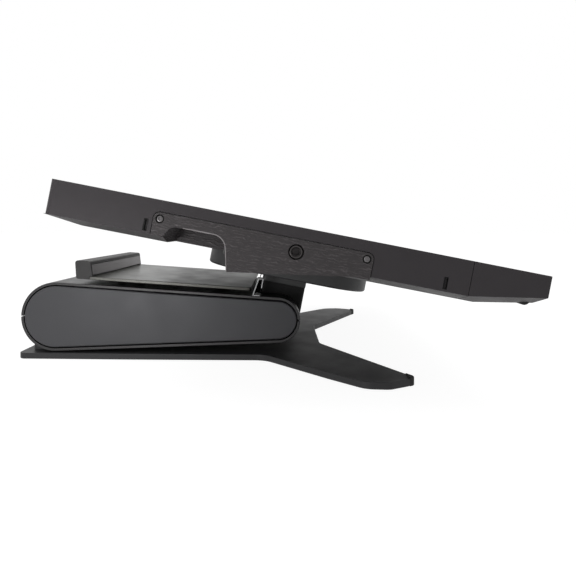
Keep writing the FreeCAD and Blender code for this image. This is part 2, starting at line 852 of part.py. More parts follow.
def make_arm_frame():
    """The arm's steel frame: two side plates, three cross tubes and the fork's liner."""
    inset_rear = "arm_rear_radius - arm_wall"
    inset_front = "arm_front_radius - arm_wall"
    plates = [
        arm_prism("right_plate", inset_rear, inset_front, ("frame_inner", "frame_face")),
        arm_prism("left_plate", inset_rear, inset_front, ("-frame_face", "-frame_inner")),
    ]
    tubes = []
    for step in (1, 2, 3):
        along = f"tilt_axis_y + axis_run*{step}/4.6 - 2"
        across = f"tilt_axis_z + axis_rise*{step}/4.6"
        tubes.append(rod("cross_tube", "x", "tube_radius", ("-frame_inner", "frame_inner"), (along, across)))
    liner_blank = arm_prism("liner_blank", inset_rear, inset_front,
                            ("-(fork_half + fork_liner)", "fork_half + fork_liner"))
    liner_zone = box("liner_zone", ("-arm_half", "arm_half"),
                     ("tilt_axis_y - arm_front_radius", "tilt_axis_y + fork_back + fork_liner"),
                     ("0", "lift_axis_z*3"))
    fork = box("fork_space", ("-fork_half", "fork_half"),
               ("tilt_axis_y - arm_front_radius*2", "tilt_axis_y + fork_back"), ("-20", "lift_axis_z*3"))
    liner = cut("fork_liner_shell", common("fork_liner_fill", liner_blank, liner_zone), fork)
    ribs = []
    for across in (("fork_half/2", "fork_half/2 + frame_plate"), ("-fork_half/2 - frame_plate", "-fork_half/2")):
        ribs.append(box("liner_rib", across,
                        ("tilt_axis_y + fork_back + fork_liner/2", "tilt_axis_y + axis_run/4.6"),
                        ("tilt_axis_z - tube_radius/2", "tilt_axis_z + tube_radius/2")))
    bush = "lift_axle_radius + bush_gap + bush_wall"
    rear_hole = rod("plate_rear_hole", "x", bush, ("-arm_half", "arm_half"), ("lift_axis_y", "lift_axis_z"))
    front_hole = rod("plate_front_hole", "x", "head_axle_radius + bush_gap + bush_wall",
                     ("-arm_half", "arm_half"), ("tilt_axis_y", "tilt_axis_z"))
    keep("arm_frame", cut("arm_frame_cut", fuse("arm_frame_body", *plates, *tubes, *ribs, liner),
                          rear_hole, front_hole))
    bushes = []
    for axle, centre in (("lift_axle_radius", ("lift_axis_y", "lift_axis_z")),
                         ("head_axle_radius", ("tilt_axis_y", "tilt_axis_z"))):
        for start, end in (("frame_face - bush_width", "frame_face"), ("-frame_face", "-frame_face + bush_width")):
            sleeve = rod("bush_sleeve", "x", f"{axle} + bush_gap + bush_wall", (start, end), centre)
            bore = rod("bush_bore", "x", f"{axle} + bush_gap", (start, end), centre)
            bushes.append(cut("bush", sleeve, bore))
    keep("arm_bushes", fuse("arm_bushes_fuse", *bushes))


def parting_block(name, upper):
    """A block that holds everything above, or below, the line through both arm axes."""
    sign = 1 if upper else -1
    gap = f"{sign}*parting_gap/2"
    far = f"{sign}*axis_run/2"
    points = [
        ("tilt_axis_y - axis_run/4", f"tilt_axis_z - axis_rise/4 + {gap}"),
        ("lift_axis_y + axis_run/4", f"lift_axis_z + axis_rise/4 + {gap}"),
        ("lift_axis_y + axis_run/4", f"lift_axis_z + {far}"),
        ("tilt_axis_y - axis_run/4", f"tilt_axis_z + {far}"),
    ]
    return prism(name, "yz", points, ("-arm_half", "arm_half"))


def make_arm_shells():
    """The arm's upper and lower shells, which meet on the line through both axes."""
    fork = box("shell_fork", ("-fork_half", "fork_half"),
               ("tilt_axis_y - arm_front_radius*2", "tilt_axis_y + fork_back"), ("-20", "lift_axis_z*3"))
    for label, upper in (("arm_upper_shell", True), ("arm_lower_shell", False)):
        outer = arm_prism(f"{label}_outer", "arm_rear_radius", "arm_front_radius", ("-arm_half", "arm_half"))
        inner = arm_prism(f"{label}_inner", "arm_rear_radius - arm_wall", "arm_front_radius - arm_wall",
                          ("-arm_half", "arm_half"))
        band = cut(f"{label}_band", outer, inner)
        half = common(f"{label}_half", band, parting_block(f"{label}_side", upper))
        tools = [fork]
        if not upper:
            for start, end in (("lug_inner - slot_gap", "lug_outer + slot_gap"),
                               ("-(lug_outer + slot_gap)", "-(lug_inner - slot_gap)")):
                tools.append(box("lug_slot", (start, end),
                                 ("lift_axis_y - lug_reach - 2*slot_gap", "lift_axis_y + arm_rear_radius + 5"),
                                 ("0", "lift_axis_z + 3")))
        keep(label, cut(f"{label}_cut", half, *tools))


def make_side_covers():
    """The two plain covers let into the arm's sides; the left one carries no marking."""
    outer = arm_prism("cover_outer", "arm_rear_radius - side_inset", "arm_front_radius - side_inset",
                      ("-side_face", "-frame_face"))
    def at_face(edge):
        return edge.BoundBox.XMax < -value("side_face") + 0.01
    soft = rounded("cover_rounded", outer, "side_edge", at_face)
    inner = arm_prism("cover_inner", "arm_rear_radius - side_inset - side_skin",
                      "arm_front_radius - side_inset - side_skin",
                      ("-side_face + side_skin", "-frame_face"))
    left = keep("arm_side_cover_left", cut("side_cover_cut", soft, inner))
    keep("arm_side_cover_right", mirrored("side_cover_twin", left))


def make_shelf():
    """The shelf over the arm with its lip, the lip's pad, its posts and its front clips."""
    plate = Body("shelf_plate")
    across = ("-shelf_half", "shelf_half")
    plate.pad("yz", [("-shelf_front", "shelf_under"), ("-shelf_end", "shelf_under"),
                     ("-shelf_end", "shelf_top"), ("-shelf_front", "shelf_top")], across)
    def at_front(edge):
        return is_along(edge, "z") and edge.CenterOfMass.y < -value("shelf_front") + 0.1
    plate.edge_feature("Fillet", at_front, Radius="shelf_corner")
    keep("rear_shelf", on_arm_top(plate.body))
    lip = Body("lip_bar")
    lip.pad("yz", [("-lip_foot", "shelf_top"), ("-shelf_end", "shelf_top"), ("-shelf_end", "shelf_under"),
                   ("-(shelf_rear + lip_back_lean)", "shelf_under"), ("-shelf_rear", "lip_level"),
                   ("-lip_brow", "lip_level")], ("-shelf_half + lip_end", "shelf_half - lip_end"))
    def at_back_or_top(edge):
        middle = edge.CenterOfMass
        high = middle.z > value("lip_level") - 0.1
        low = middle.z < value("shelf_under") + 0.1 and middle.y > -value("shelf_rear + lip_back_lean") - 0.1
        return is_along(edge, "x") and (high or low)
    lip.edge_feature("Fillet", at_back_or_top, Radius="lip_round")
    low = ("lip_foot - lip_lean*pad_edge/lip_top", "shelf_top + pad_edge")
    high = ("lip_brow + lip_lean*(pad_edge + lip_round)/lip_top", "lip_level - pad_edge - lip_round")
    pad_points = [
        (f"-({low[0]}) - pad_thick", low[1]),
        (f"-({low[0]}) + pad_thick", low[1]),
        (f"-({high[0]}) + pad_thick", high[1]),
        (f"-({high[0]}) - pad_thick", high[1]),
    ]
    pad_span = ("-shelf_half + pad_margin", "shelf_half - pad_margin")
    pocket = prism("lip_pad_pocket", "yz", pad_points, pad_span)
    keep("shelf_lip", on_arm_top(cut("shelf_lip_cut", lip.body, pocket)))
    pad_block = prism("lip_pad_block", "yz", pad_points, pad_span)
    pad_trim = prism("lip_pad_trim", "yz", [("-lip_foot", "shelf_top"), ("-shelf_rear", "shelf_top"),
                                            ("-shelf_rear", "lip_level"), ("-lip_brow", "lip_level")], across)
    keep("lip_pad", on_arm_top(common("lip_pad_common", pad_block, pad_trim)))
    posts = []
    for sign in ("", "-"):
        for along in ("-shelf_front*0.8", "-shelf_front*0.25"):
            posts.append(rod("shelf_post", "z", "post_radius", ("arm_rear_radius", "shelf_under"),
                             (f"{sign}(shelf_half - post_inset)", along)))
    keep("shelf_posts", on_arm_top(fuse("shelf_posts_fuse", *posts)))
    make_shelf_clips()


def make_shelf_clips():
    """Bent spring-steel clips that stand on the arm just in front of the shelf."""
    near = "-(shelf_front + clip_gap)"
    floor = "arm_rear_radius"
    top = "arm_rear_radius + clip_height"
    points = [
        (near, floor),
        (f"{near} - clip_foot", floor),
        (f"{near} - clip_foot", f"{floor} + clip_strip"),
        (f"{near} - clip_strip*1.3", f"{floor} + clip_strip"),
        (f"{near} - clip_lean - clip_strip*1.15", f"{top} - clip_strip"),
        (f"{near} - clip_reach + clip_strip", f"{top} - clip_strip"),
        (f"{near} - clip_reach + clip_strip*1.9", f"{top} - clip_strip - clip_tail"),
        (f"{near} - clip_reach + clip_strip*0.9", f"{top} - clip_strip - clip_tail"),
        (f"{near} - clip_reach", top),
        (f"{near} - clip_lean + clip_strip*0.8", top),
        (f"{near} - clip_lean + clip_strip*0.8", f"{top} - clip_strip"),
        (f"{near} - clip_lean", f"{top} - clip_strip"),
    ]
    start = "-shelf_half"
    clip = prism("clip_strip_left", "yz", points, (start, f"{start} + clip_width"))
    twin = prism("clip_strip_right", "yz", points, ("shelf_half - clip_width", "shelf_half"))
    keep("shelf_clips", on_arm_top(fuse("shelf_clips_fuse", clip, twin)))


def make_neck():
    """The neck between the fork and the display: bracket, cover, washers, spindle and nut."""
    centre = ("0", "0")
    keep("head_axle", on_head(rod("head_axle_rod", "x", "head_axle_radius", ("-axle_half", "axle_half"),
                                  centre)))
    blocks = []
    washers = []
    for side, across in (("right", ("ear_outer - ear_thick", "ear_outer")),
                         ("left", ("-ear_outer", "-ear_outer + ear_thick"))):
        blocks.append(rod(f"{side}_ear", "x", "ear_radius", across, centre))
        blocks.append(box(f"{side}_web", across, ("-ear_radius", "ear_radius"), ("0", "neck_top")))
        inner = across[0] if side == "right" else across[1]
        span = (f"{inner} - washer_thick", inner) if side == "right" else (inner, f"{inner} + washer_thick")
        disc = rod("washer_disc", "x", "washer_radius", span, centre)
        hole = rod("washer_hole", "x", "head_axle_radius + running_gap", span, centre)
        washers.append(cut("washer", disc, hole))
    flange = box("neck_flange_plate", ("-neck_half - flange_over", "neck_half + flange_over"),
                 ("-neck_reach - flange_over", "neck_reach + flange_over"), ("neck_top", "neck_flange"))
    def upright(edge):
        return is_along(edge, "z")
    soft_flange = rounded("neck_flange_rounded", flange, "neck_corner", upright)
    bore = rod("ear_bore", "x", "head_axle_radius + running_gap", ("-neck_half", "neck_half"), centre)
    keep("neck_bracket", on_head(cut("neck_bracket_cut", fuse("neck_bracket_body", *blocks, soft_flange), bore)))
    keep("tilt_washers", on_head(fuse("tilt_washers_fuse", *washers)))
    drum = rod("neck_drum", "x", "neck_reach", ("-neck_half", "neck_half"), centre)
    trunk = box("neck_trunk", ("-neck_half", "neck_half"), ("-neck_reach", "neck_reach"), ("0", "neck_top"))
    trunk_soft = rounded("neck_trunk_rounded", trunk, "neck_corner", upright)
    hollow_drum = rod("neck_hollow_drum", "x", "neck_reach - neck_wall",
                      ("-neck_half + neck_wall", "neck_half - neck_wall"), centre)
    hollow_trunk = box("neck_hollow_trunk", ("-neck_half + neck_wall", "neck_half - neck_wall"),
                       ("-neck_reach + neck_wall", "neck_reach - neck_wall"), ("0", "neck_top"))
    side_hole = rod("neck_side_hole", "x", "head_axle_radius + running_gap*10", ("-neck_half", "neck_half"),
                    centre)
    keep("neck_cover", on_head(cut("neck_cover_cut", fuse("neck_cover_body", drum, trunk_soft),
                                   hollow_drum, hollow_trunk, side_hole)))
    stem_top = "hub_top + turn_gap"
    stem = rod("spindle_stem", "z", "spindle_radius", ("neck_flange", stem_top), centre)
    thread = rod("spindle_thread", "z", "thread_radius",
                 ("neck_flange", f"{stem_top} + nut_height*4/3"), centre)
    keep("rotation_spindle", on_head(fuse("rotation_spindle_fuse", stem, thread)))
    nut = rod("nut_disc", "z", "nut_radius", (stem_top, f"{stem_top} + nut_height"), centre)
    nut_hole = rod("nut_hole", "z", "thread_radius", (stem_top, f"{stem_top} + nut_height"), centre)
    keep("spindle_nut", on_head(cut("spindle_nut_cut", nut, nut_hole)))


def make_head_housing():
    """The rounded housing under the display with the turning hub and the mounting plate."""
    hump = Body("hump")
    half = "hump_half_width"
    hump.pad("xy", [(f"-{half}", "-hump_front"), (half, "-hump_front"), (half, "hump_rear"),
                    (f"-{half}", "hump_rear")], ("hump_level", "back_level"))
    def upright(edge):
        return is_along(edge, "z")
    hump.edge_feature("Fillet", upright, Radius="hump_corner")
    def at_bottom(edge):
        return edge.BoundBox.ZMax < value("hump_level") + 0.01
    hump.edge_feature("Fillet", at_bottom, Radius="hump_edge")
    side = "hump_half_width - hump_wall"
    bend = "hump_half_width - hump_corner"
    corners = []
    for sign, reach in (("", "hump_rear"), ("-", "hump_front")):
        turn = f"{sign}({reach} - hump_corner)"
        end = f"{sign}({reach} - hump_wall)"
        row = [(side, turn), (bend, end), (f"-({bend})", end), (f"-({side})", turn)]
        corners += row if sign == "" else row[::-1]
    hump.pocket("xy", corners, ("hump_floor + hump_edge/2", "back_level"))
    inner = box("hump_inner", (f"-({bend})", bend), ("-hump_front + hump_corner", "hump_rear - hump_corner"),
                ("hump_floor", "back_level"))
    mouth = rod("hump_mouth", "z", "spindle_radius + 2*turn_gap", ("hump_level", "hump_floor"), ("0", "0"))
    keep("head_housing", on_head(cut("head_housing_cut", hump.body, inner, mouth)))
    cup = rod("hub_cup", "z", "hub_radius", ("hump_floor", "mount_under"), ("0", "0"))
    well = rod("hub_well", "z", "hub_radius - hub_wall", ("hub_top", "mount_under"), ("0", "0"))
    bore = rod("hub_bore", "z", "spindle_radius + running_gap", ("hump_floor", "hub_top"), ("0", "0"))
    keep("rotation_hub", on_head(cut("rotation_hub_cut", cup, well, bore)))
    plate = box("mount_plate_block", ("-mount_plate_half", "mount_plate_half"),
                ("-mount_plate_reach", "mount_plate_reach"), ("mount_under", "back_level"))
    holes = []
    screws = []
    for spot in mount_spots():
        holes.append(rod("mount_hole", "z", "mount_screw_radius", ("mount_under", "back_level"), spot))
        screws.append(rod("mount_screw", "z", "mount_screw_radius",
                          ("mount_under", "back_skin + mount_screw_depth"), spot))
        screws.append(rod("mount_head", "z", "mount_screw_head",
                          ("mount_under - mount_head_height", "mount_under"), spot))
    keep("mount_plate", on_head(cut("mount_plate_cut", plate, *holes)))
    keep("mount_screws", on_head(fuse("mount_screws_fuse", *screws)))


def mount_spots():
    """The four places of the mounting screws."""
    return [(f"{x_sign}mount_pitch/2", f"{y_sign}mount_pitch/2") for x_sign in ("", "-")
            for y_sign in ("", "-")]


def pillow(name, inset, floor, top, front, rear):
    """The back's raised middle: a slab whose sides and rear slope in towards its lower face."""
    wedge = DOC.addObject("Part::Wedge", name)
    wedge.Placement = FreeCAD.Placement(FreeCAD.Vector(), FreeCAD.Rotation(FreeCAD.Vector(1, 0, 0), 90))
    bind(wedge, Xmin=f"-display_half + {inset}", Xmax=f"display_half - {inset}",
         X2min="-display_half", X2max="display_half", Ymin=floor, Ymax=top,
         Zmin=f"-({rear}) + {inset}", Zmax=f"-({front})", Z2min=f"-({rear})", Z2max=f"-({front})")
    return wedge


def back_pillow_solid(name):
    """The raised middle of the back as one full solid."""
    return pillow(name, "pillow_inset", "back_level", "side_level", "-seam_front + seam_gap", "display_rear")


def grip_outline(gap):
    """The grip's side outline, from its lower rear corner round to the finger arch."""
    rear, front, top = f"grip_rear - {gap}", f"-grip_front + {gap}", f"grip_top_level - {gap}"
    return [
        (rear, "side_level"),
        (rear, top),
        (front, top),
        (front, "grip_nose_level"),
        ("-grip_nose", "grip_nose_level"),
        ("horn_y", "horn_level"),
        ("arch_front", "arch_top"),
        ("arch_rear", "arch_top"),
        ("arch_foot", "side_level"),
    ]


def round_grip_corners(name, source, gap, foot):
    """Round the grip's outer corners and the finger arch, along edges that run across."""
    corners = [
        (f"grip_corner - {gap}", f"grip_rear - {gap}", f"grip_top_level - {gap}"),
        (f"grip_corner - {gap}", f"-grip_front + {gap}", f"grip_top_level - {gap}"),
        ("arch_front_radius", "arch_front", "arch_top"),
        ("arch_rear_radius", "arch_rear", "arch_top"),
    ]
    if foot:
        corners.append(("arch_foot_radius", "arch_foot", "side_level"))
    for number, (radius, along, up) in enumerate(corners):
        def wanted(edge, along=along, up=up):
            middle = edge.CenterOfMass
            near = abs(middle.y - value(along)) < 0.5 and abs(middle.z - value(up)) < 0.5
            return near and is_along(edge, "x")
        source = rounded(f"{name}_corner{number}", source, radius, wanted)
    return source


def key_across(number):
    """The middle of one express key across the left grip, counted from the outside."""
    return f"-(display_half - key_inset - key_pitch*{number - 1})"


def make_grips():
    """The leather-grained side grips with their finger arch, horn and key wall."""
    skin = prism("grip_skin_plate", "yz", grip_outline("grip_gap"), ("-grip_face", "-inner_half"))
    skin = round_grip_corners("grip_skin_plate", skin, "grip_gap", True)
    arch_low = "horn_y + (arch_front - horn_y)*(back_level - horn_level)/(arch_top - horn_level)"
    block = "key_wall - key_block_depth"
    horn = prism("grip_horn", "yz", [("-horn_start", "back_level"), ("-horn_start", "horn_mid_level - 0.2"),
                                     ("horn_y", "horn_level"), (arch_low, "back_level")],
                 ("-grip_face + grip_proud", "-grip_inner"))
    def inboard(edge):
        return edge.BoundBox.XMin > -value("grip_inner") - 0.01 and edge.CenterOfMass.z < value("back_level") - 1
    horn_soft = rounded("grip_horn_soft", horn, "horn_edge", inboard)
    wall = prism("grip_key_wall", "yz", [(block, "back_level"), (arch_low, "back_level"),
                                         ("arch_front", "arch_top"), ("arch_front", "chassis_under"),
                                         (block, "chassis_under")],
                 ("-inner_half", "-grip_inner"))
    roof = box("grip_roof", ("-inner_half", "-grip_inner"), ("key_wall", "arch_foot + grip_skin"),
               ("arch_top", "chassis_under"))
    back = box("grip_back", ("-grip_inner - grip_skin", "-grip_inner"), ("key_wall", "arch_foot + grip_skin"),
               ("back_level", "chassis_under"))
    rear = prism("grip_rear_wall", "yz", [("arch_foot", "back_level"), ("arch_foot + grip_skin", "back_level"),
                                          ("arch_foot + grip_skin", "chassis_under"),
                                          ("arch_rear", "chassis_under"), ("arch_rear", "arch_top"),
                                          ("arch_foot", "side_level")],
                 ("-inner_half", "-grip_inner"))
    envelope = fuse("grip_envelope", back_pillow_solid("grip_envelope_pillow"),
                    box("grip_envelope_slab", ("-display_half", "display_half"),
                        ("-seam_front", "display_rear"), ("side_level", "screen_level")))
    rear_trimmed = common("grip_rear_trim", rear, envelope)
    filler = cut("grip_filler", box("grip_filler_block", ("-inner_half", "-display_half + pillow_inset"),
                                    ("-horn_start", block), ("back_level", "side_level")),
                 back_pillow_solid("grip_filler_pillow"))
    body = fuse("grip_body", skin, horn_soft, wall, roof, back, rear_trimmed, filler)
    cavity = box("key_cavity", ("-inner_half + 1.5", "-grip_inner - grip_skin - 1"),
                 (f"{block} - 1", "key_wall - key_depth + key_proud - key_travel - key_gap"),
                 ("key_centre_z - key_height/2 - key_gap", "chassis_under - 2"))
    pockets = []
    for number in (1, 2, 3, 4):
        middle = key_across(number)
        pockets.append(box("key_pocket", (f"{middle} - key_width/2 - key_gap", f"{middle} + key_width/2 + key_gap"),
                           (block, "key_wall + key_block_depth"),
                           ("key_centre_z - key_height/2 - key_gap", "key_centre_z + key_height/2 + key_gap")))
    recesses = []
    for along in ("grip_screw_rear_y", "grip_screw_front_y"):
        recesses.append(rod("grip_screw_well", "x", "grip_screw_recess",
                            ("-grip_face", "-grip_face + grip_screw_sink"), (along, "grip_screw_z")))
        recesses.append(rod("grip_screw_way", "x", "grip_screw_shank", ("-grip_face", "-inner_half"),
                            (along, "grip_screw_z")))
    insert_way = rod("insert_way", "x", "insert_radius", ("-grip_face", "-inner_half"), ("insert_y", "insert_z"))
    left = keep("grip_left", on_head(cut("grip_left_cut", body, cavity, *pockets, *recesses, insert_way)))
    keep("grip_right", mirrored("grip_right_twin", left))


def make_grip_fasteners():
    """Screws that hold the grips and the threaded inserts for a tripod screw."""
    screws = []
    inserts = []
    for sign in ("-", ""):
        def span(start, end, sign=sign):
            return (f"-({end})", f"-({start})") if sign == "-" else (start, end)
        for along in ("grip_screw_rear_y", "grip_screw_front_y"):
            spot = (along, "grip_screw_z")
            screws.append(rod("grip_screw_shank_rod", "x", "grip_screw_shank",
                              span("grip_face - grip_screw_length", "grip_face - grip_screw_sink"), spot))
            screws.append(rod("grip_screw_head_disc", "x", "grip_screw_head",
                              span("grip_face - grip_screw_sink",
                                   "grip_face - grip_screw_sink + grip_screw_proud"), spot))
        sleeve = rod("insert_sleeve", "x", "insert_radius",
                     span("grip_face - insert_length - 1", "grip_face + 0.1"), ("insert_y", "insert_z"))
        hole = rod("insert_hole", "x", "insert_bore", span("grip_face - insert_length", "grip_face + 0.1"),
                   ("insert_y", "insert_z"))
        inserts.append(cut("insert", sleeve, hole))
    keep("grip_screws", on_head(fuse("grip_screws_fuse", *screws)))
    keep("threaded_inserts", on_head(fuse("threaded_inserts_fuse", *inserts)))


def make_keys():
    """Four sprung express keys in each grip's finger arch, and the boards behind them."""
    face = "key_wall + key_proud"
    for number in (1, 2, 3, 4):
        middle = key_across(number)
        block = box("key_block", (f"{middle} - key_width/2", f"{middle} + key_width/2"),
                    (f"{face} - key_depth", face),
                    ("key_centre_z - key_height/2", "key_centre_z + key_height/2"))
        def at_face(edge):
            return edge.BoundBox.YMin > value(face) - 0.01
        cap = rounded("key_cap", block, "key_proud/2", at_face)
        left = keep(f"key_left_{number}", on_head(cap))
        keep(f"key_right_{number}", mirrored(f"key_twin_{number}", left))
    back = f"{face} - key_depth - key_travel - key_gap - key_dome_height"
    board = box("key_board", ("-inner_half + 1.5", "-grip_inner - grip_skin - 1"),
                (f"{back} - key_board_thick", back),
                ("key_centre_z - key_height/2 - key_gap", "chassis_under - 2"))
    domes = [rod("key_dome_stud", "y", "key_dome", (back, f"{back} + key_dome_height"),
                 (key_across(number), "key_centre_z")) for number in (1, 2, 3, 4)]
    left_board = fuse("key_board_left", board, *domes)
    keep("key_boards", on_head(fuse("key_boards_fuse", left_board, mirrored("key_board_right", left_board))))


def grip_reliefs():
    """What the housing and the back give up for the two grips."""
    plate = prism("relief_plate", "yz", grip_outline("0"), ("-grip_face - 1", "-inner_half"))
    plate = round_grip_corners("relief_plate", plate, "0", False)
    arch = prism("relief_arch", "yz", [("arch_front - 4", "back_level - 1"), ("arch_front", "arch_top"),
                                       ("arch_rear", "arch_top"), ("arch_foot", "side_level"),
                                       ("arch_foot", "back_level - 1")],
                 ("-grip_face - 1", "-inner_half"))
    inner = box("relief_inner", ("-display_half - 1", "-grip_inner"),
                ("key_wall - key_block_depth", "arch_foot + grip_skin"),
                ("back_level - 1", "side_level"))
    sides = []
    for piece in (plate, arch, inner):
        sides.append(piece)
        sides.append(mirrored(f"{piece.Name}_twin", piece))
    return sides


def accessory_slots():
    """The four small upright slots in the housing's sides."""
    slots = []
    for along in ("slot_rear_y", "slot_front_y"):
        for across in (("-display_half - 1", "-display_half + slot_depth"),
                       ("display_half - slot_depth", "display_half + 1")):
            slots.append(box("accessory_slot", across, (f"{along} - slot_width/2", f"{along} + slot_width/2"),
                             ("screen_level - slot_top - slot_height", "screen_level - slot_top")))
    return slots


def make_case():
    """The display's side housing and back cover."""
    slab = box("housing_slab", ("-display_half", "display_half"), ("-seam_front + seam_gap", "display_rear"),
               ("side_level", "screen_level"))
    def rear_upright(edge):
        return is_along(edge, "z") and edge.CenterOfMass.y > value("display_rear") - 0.1
    slab = rounded("housing_corners", slab, "case_corner", rear_upright)
    hollow = box("housing_hollow", ("-inner_half", "inner_half"), ("-display_front", "display_rear - case_wall"),
                 ("side_level", "screen_level"))
    button_way = rod("button_way", "y", "button_radius + button_gap", ("display_rear - case_wall", "display_rear"),
                     ("button_x", "button_z"))
    port_way = box("port_way", ("-port_half", "port_half"), ("display_rear - case_wall", "display_rear"),
                   ("port_top - port_height", "port_top"))
    reliefs = grip_reliefs()
    keep("side_housing", on_head(cut("side_housing_cut", slab, hollow, button_way, port_way,
                                     *accessory_slots(), *reliefs)))
    back = back_pillow_solid("back_pillow")
    room = box("back_room", ("-display_half + pillow_inset + 3", "display_half - pillow_inset - 3"),
               ("-seam_front + seam_gap", "display_rear - pillow_inset - 3"), ("back_skin", "side_level"))
    screw_ways = [rod("back_screw_way", "z", "mount_screw_radius", ("back_level", "back_skin"), spot)
                  for spot in mount_spots()]
    vents = []
    for step in (-3, -2, -1, 0, 1, 2, 3):
        middle = f"fan_x + vent_pitch*{step}"
        vents.append(box("vent", (f"{middle} - vent_width/2", f"{middle} + vent_width/2"),
                         ("fan_y - vent_length/2", "fan_y + vent_length/2"), ("back_level", "back_skin")))
    back_reliefs = grip_reliefs()
    keep("back_cover", on_head(cut("back_cover_cut", back, room, *screw_ways, *vents, *back_reliefs)))


def wedge_points(side):
    """The front cover's end outline, at its outer side or at the pillow's inner edge."""
    if side:
        under = [("-display_front", "front_under"),
                 ("-wedge_start", "side_level + (wedge_start - seam_front)*side_slope"),
                 ("-seam_front", "side_level")]
    else:
        under = [("-display_front", "front_low"), ("-wedge_start", "back_level"), ("-seam_front", "back_level")]
    return [("-seam_front", "screen_level"), ("-display_front", "screen_level")] + under


def make_front_cover():
    """The cover over the display's low edge, whose underside rises to a thin front face."""
    middle = prism("wedge_middle", "yz", wedge_points(False),
                   ("-display_half + pillow_inset", "display_half - pillow_inset"))
    ends = []
    for outer, inner in (("-display_half", "-display_half + pillow_inset"),
                         ("display_half", "display_half - pillow_inset")):
        outer_sketch = sketch_at("wedge_outer_outline", "yz", outer)
        draw_outline(outer_sketch, wedge_points(True))
        inner_sketch = sketch_at("wedge_inner_outline", "yz", inner)
        draw_outline(inner_sketch, wedge_points(False))
        loft = DOC.addObject("Part::Loft", "wedge_end")
        loft.Sections = [outer_sketch, inner_sketch]
        loft.Solid = True
        loft.Ruled = True
        ends.append(loft)
    deep = prism("front_deep_room", "yz", [
        ("-seam_front", "screen_level"),
        ("-display_front + case_wall", "screen_level"),
        ("-display_front + case_wall", "front_low + case_wall"),
        ("-wedge_start", "back_level + case_wall"),
        ("-seam_front", "back_level + case_wall"),
    ], ("-display_half + pillow_inset", "display_half - pillow_inset"))
    shallow = prism("front_shallow_room", "yz", [
        ("-seam_front", "screen_level"),
        ("-display_front + case_wall", "screen_level"),
        ("-display_front + case_wall", "front_under + case_wall"),
        ("-seam_front", "side_level + case_wall"),
    ], ("-inner_half", "inner_half"))
    shell = fuse("front_shell", middle, *ends)
    keep("front_end_cover", on_head(cut("front_end_cover_cut", shell, deep, shallow, *foot_bars())))
    keep("display_feet", on_head(fuse("display_feet_fuse", *foot_bars())))


def foot_bars():
    """Rounded rubber bars let into the front cover's underside."""
    bars = []
    up = "back_level + (foot_bar_y - wedge_start)*wedge_slope + foot_bar_radius - foot_bar_proud"
    for sign in ("", "-"):
        middle = f"{sign}(foot_bar_half)"
        bars.append(rod("foot_bar", "x", "foot_bar_radius",
                        (f"{middle} - foot_bar_length/2", f"{middle} + foot_bar_length/2"),
                        ("-foot_bar_y", up)))
    return bars


def make_screen_stack():
    """The cover glass and the flat layers behind it."""
    full = ("-inner_half + glass_gap", "inner_half - glass_gap")
    along = ("-display_front + case_wall + glass_gap", "display_rear - case_wall - glass_gap")
    keep("cover_glass", on_head(box("glass_sheet", full, along, ("glass_under", "screen_level"))))
    layers = (
        ("lcd_panel", "panel_under", "glass_under"),
        ("backlight_unit", "backlight_under", "panel_under"),
        ("pen_sensor_board", "sensor_under", "backlight_under"),
    )
    for label, low, high in layers:
        sheet = box(f"{label}_sheet", ("-panel_half", "panel_half"), ("panel_front", "panel_rear"), (low, high))
        keep(label, on_head(sheet))


def make_chassis():
    """The chassis plate that carries the screen, with its bosses and board posts."""
    plate = box("chassis_sheet", ("-inner_half", "inner_half"),
                ("-chassis_front", "display_rear - case_wall"), ("chassis_under", "sensor_under"))
    bosses = [rod("chassis_boss", "z", "boss_radius", ("back_skin", "chassis_under"), spot)
              for spot in mount_spots()]
    posts = []
    board_top = "board_level + board_thick"
    for start, end in (("-board_half_width", "board_half_width"), ("power_board_start", "power_board_end")):
        for across in (f"{start} + board_post_inset", f"{end} - board_post_inset"):
            for along in ("board_front + board_post_inset", "board_rear - board_post_inset"):
                posts.append(rod("board_post", "z", "boss_radius/2", (board_top, "chassis_under"),
                                 (across, along)))
    holes = [rod("boss_hole", "z", "mount_screw_radius", ("back_skin", "back_skin + mount_screw_depth"), spot)
             for spot in mount_spots()]
    tools = []
    for span in (("-grip_face", "-grip_face + insert_length + 1"), ("grip_face - insert_length - 1", "grip_face")):
        tools.append(rod("chassis_insert_way", "x", "insert_radius", span, ("insert_y", "insert_z")))
    for span in (("-grip_face", "-grip_face + grip_screw_length"), ("grip_face - grip_screw_length", "grip_face")):
        for along in ("grip_screw_rear_y", "grip_screw_front_y"):
            tools.append(rod("chassis_screw_way", "x", "grip_screw_shank", span, (along, "grip_screw_z")))
    tools.append(rod("chassis_button_way", "y", "button_radius + button_gap",
                     ("display_rear - case_wall - button_depth - button_travel", "display_rear"),
                     ("button_x", "button_z")))
    tools.append(box("chassis_port_way", ("-port_half", "port_half"),
                     ("display_rear - case_wall - port_depth", "display_rear"),
                     ("port_top - port_height", "port_top")))
    keep("chassis", on_head(cut("chassis_cut", fuse("chassis_body", plate, *bosses, *posts), *holes, *tools)))


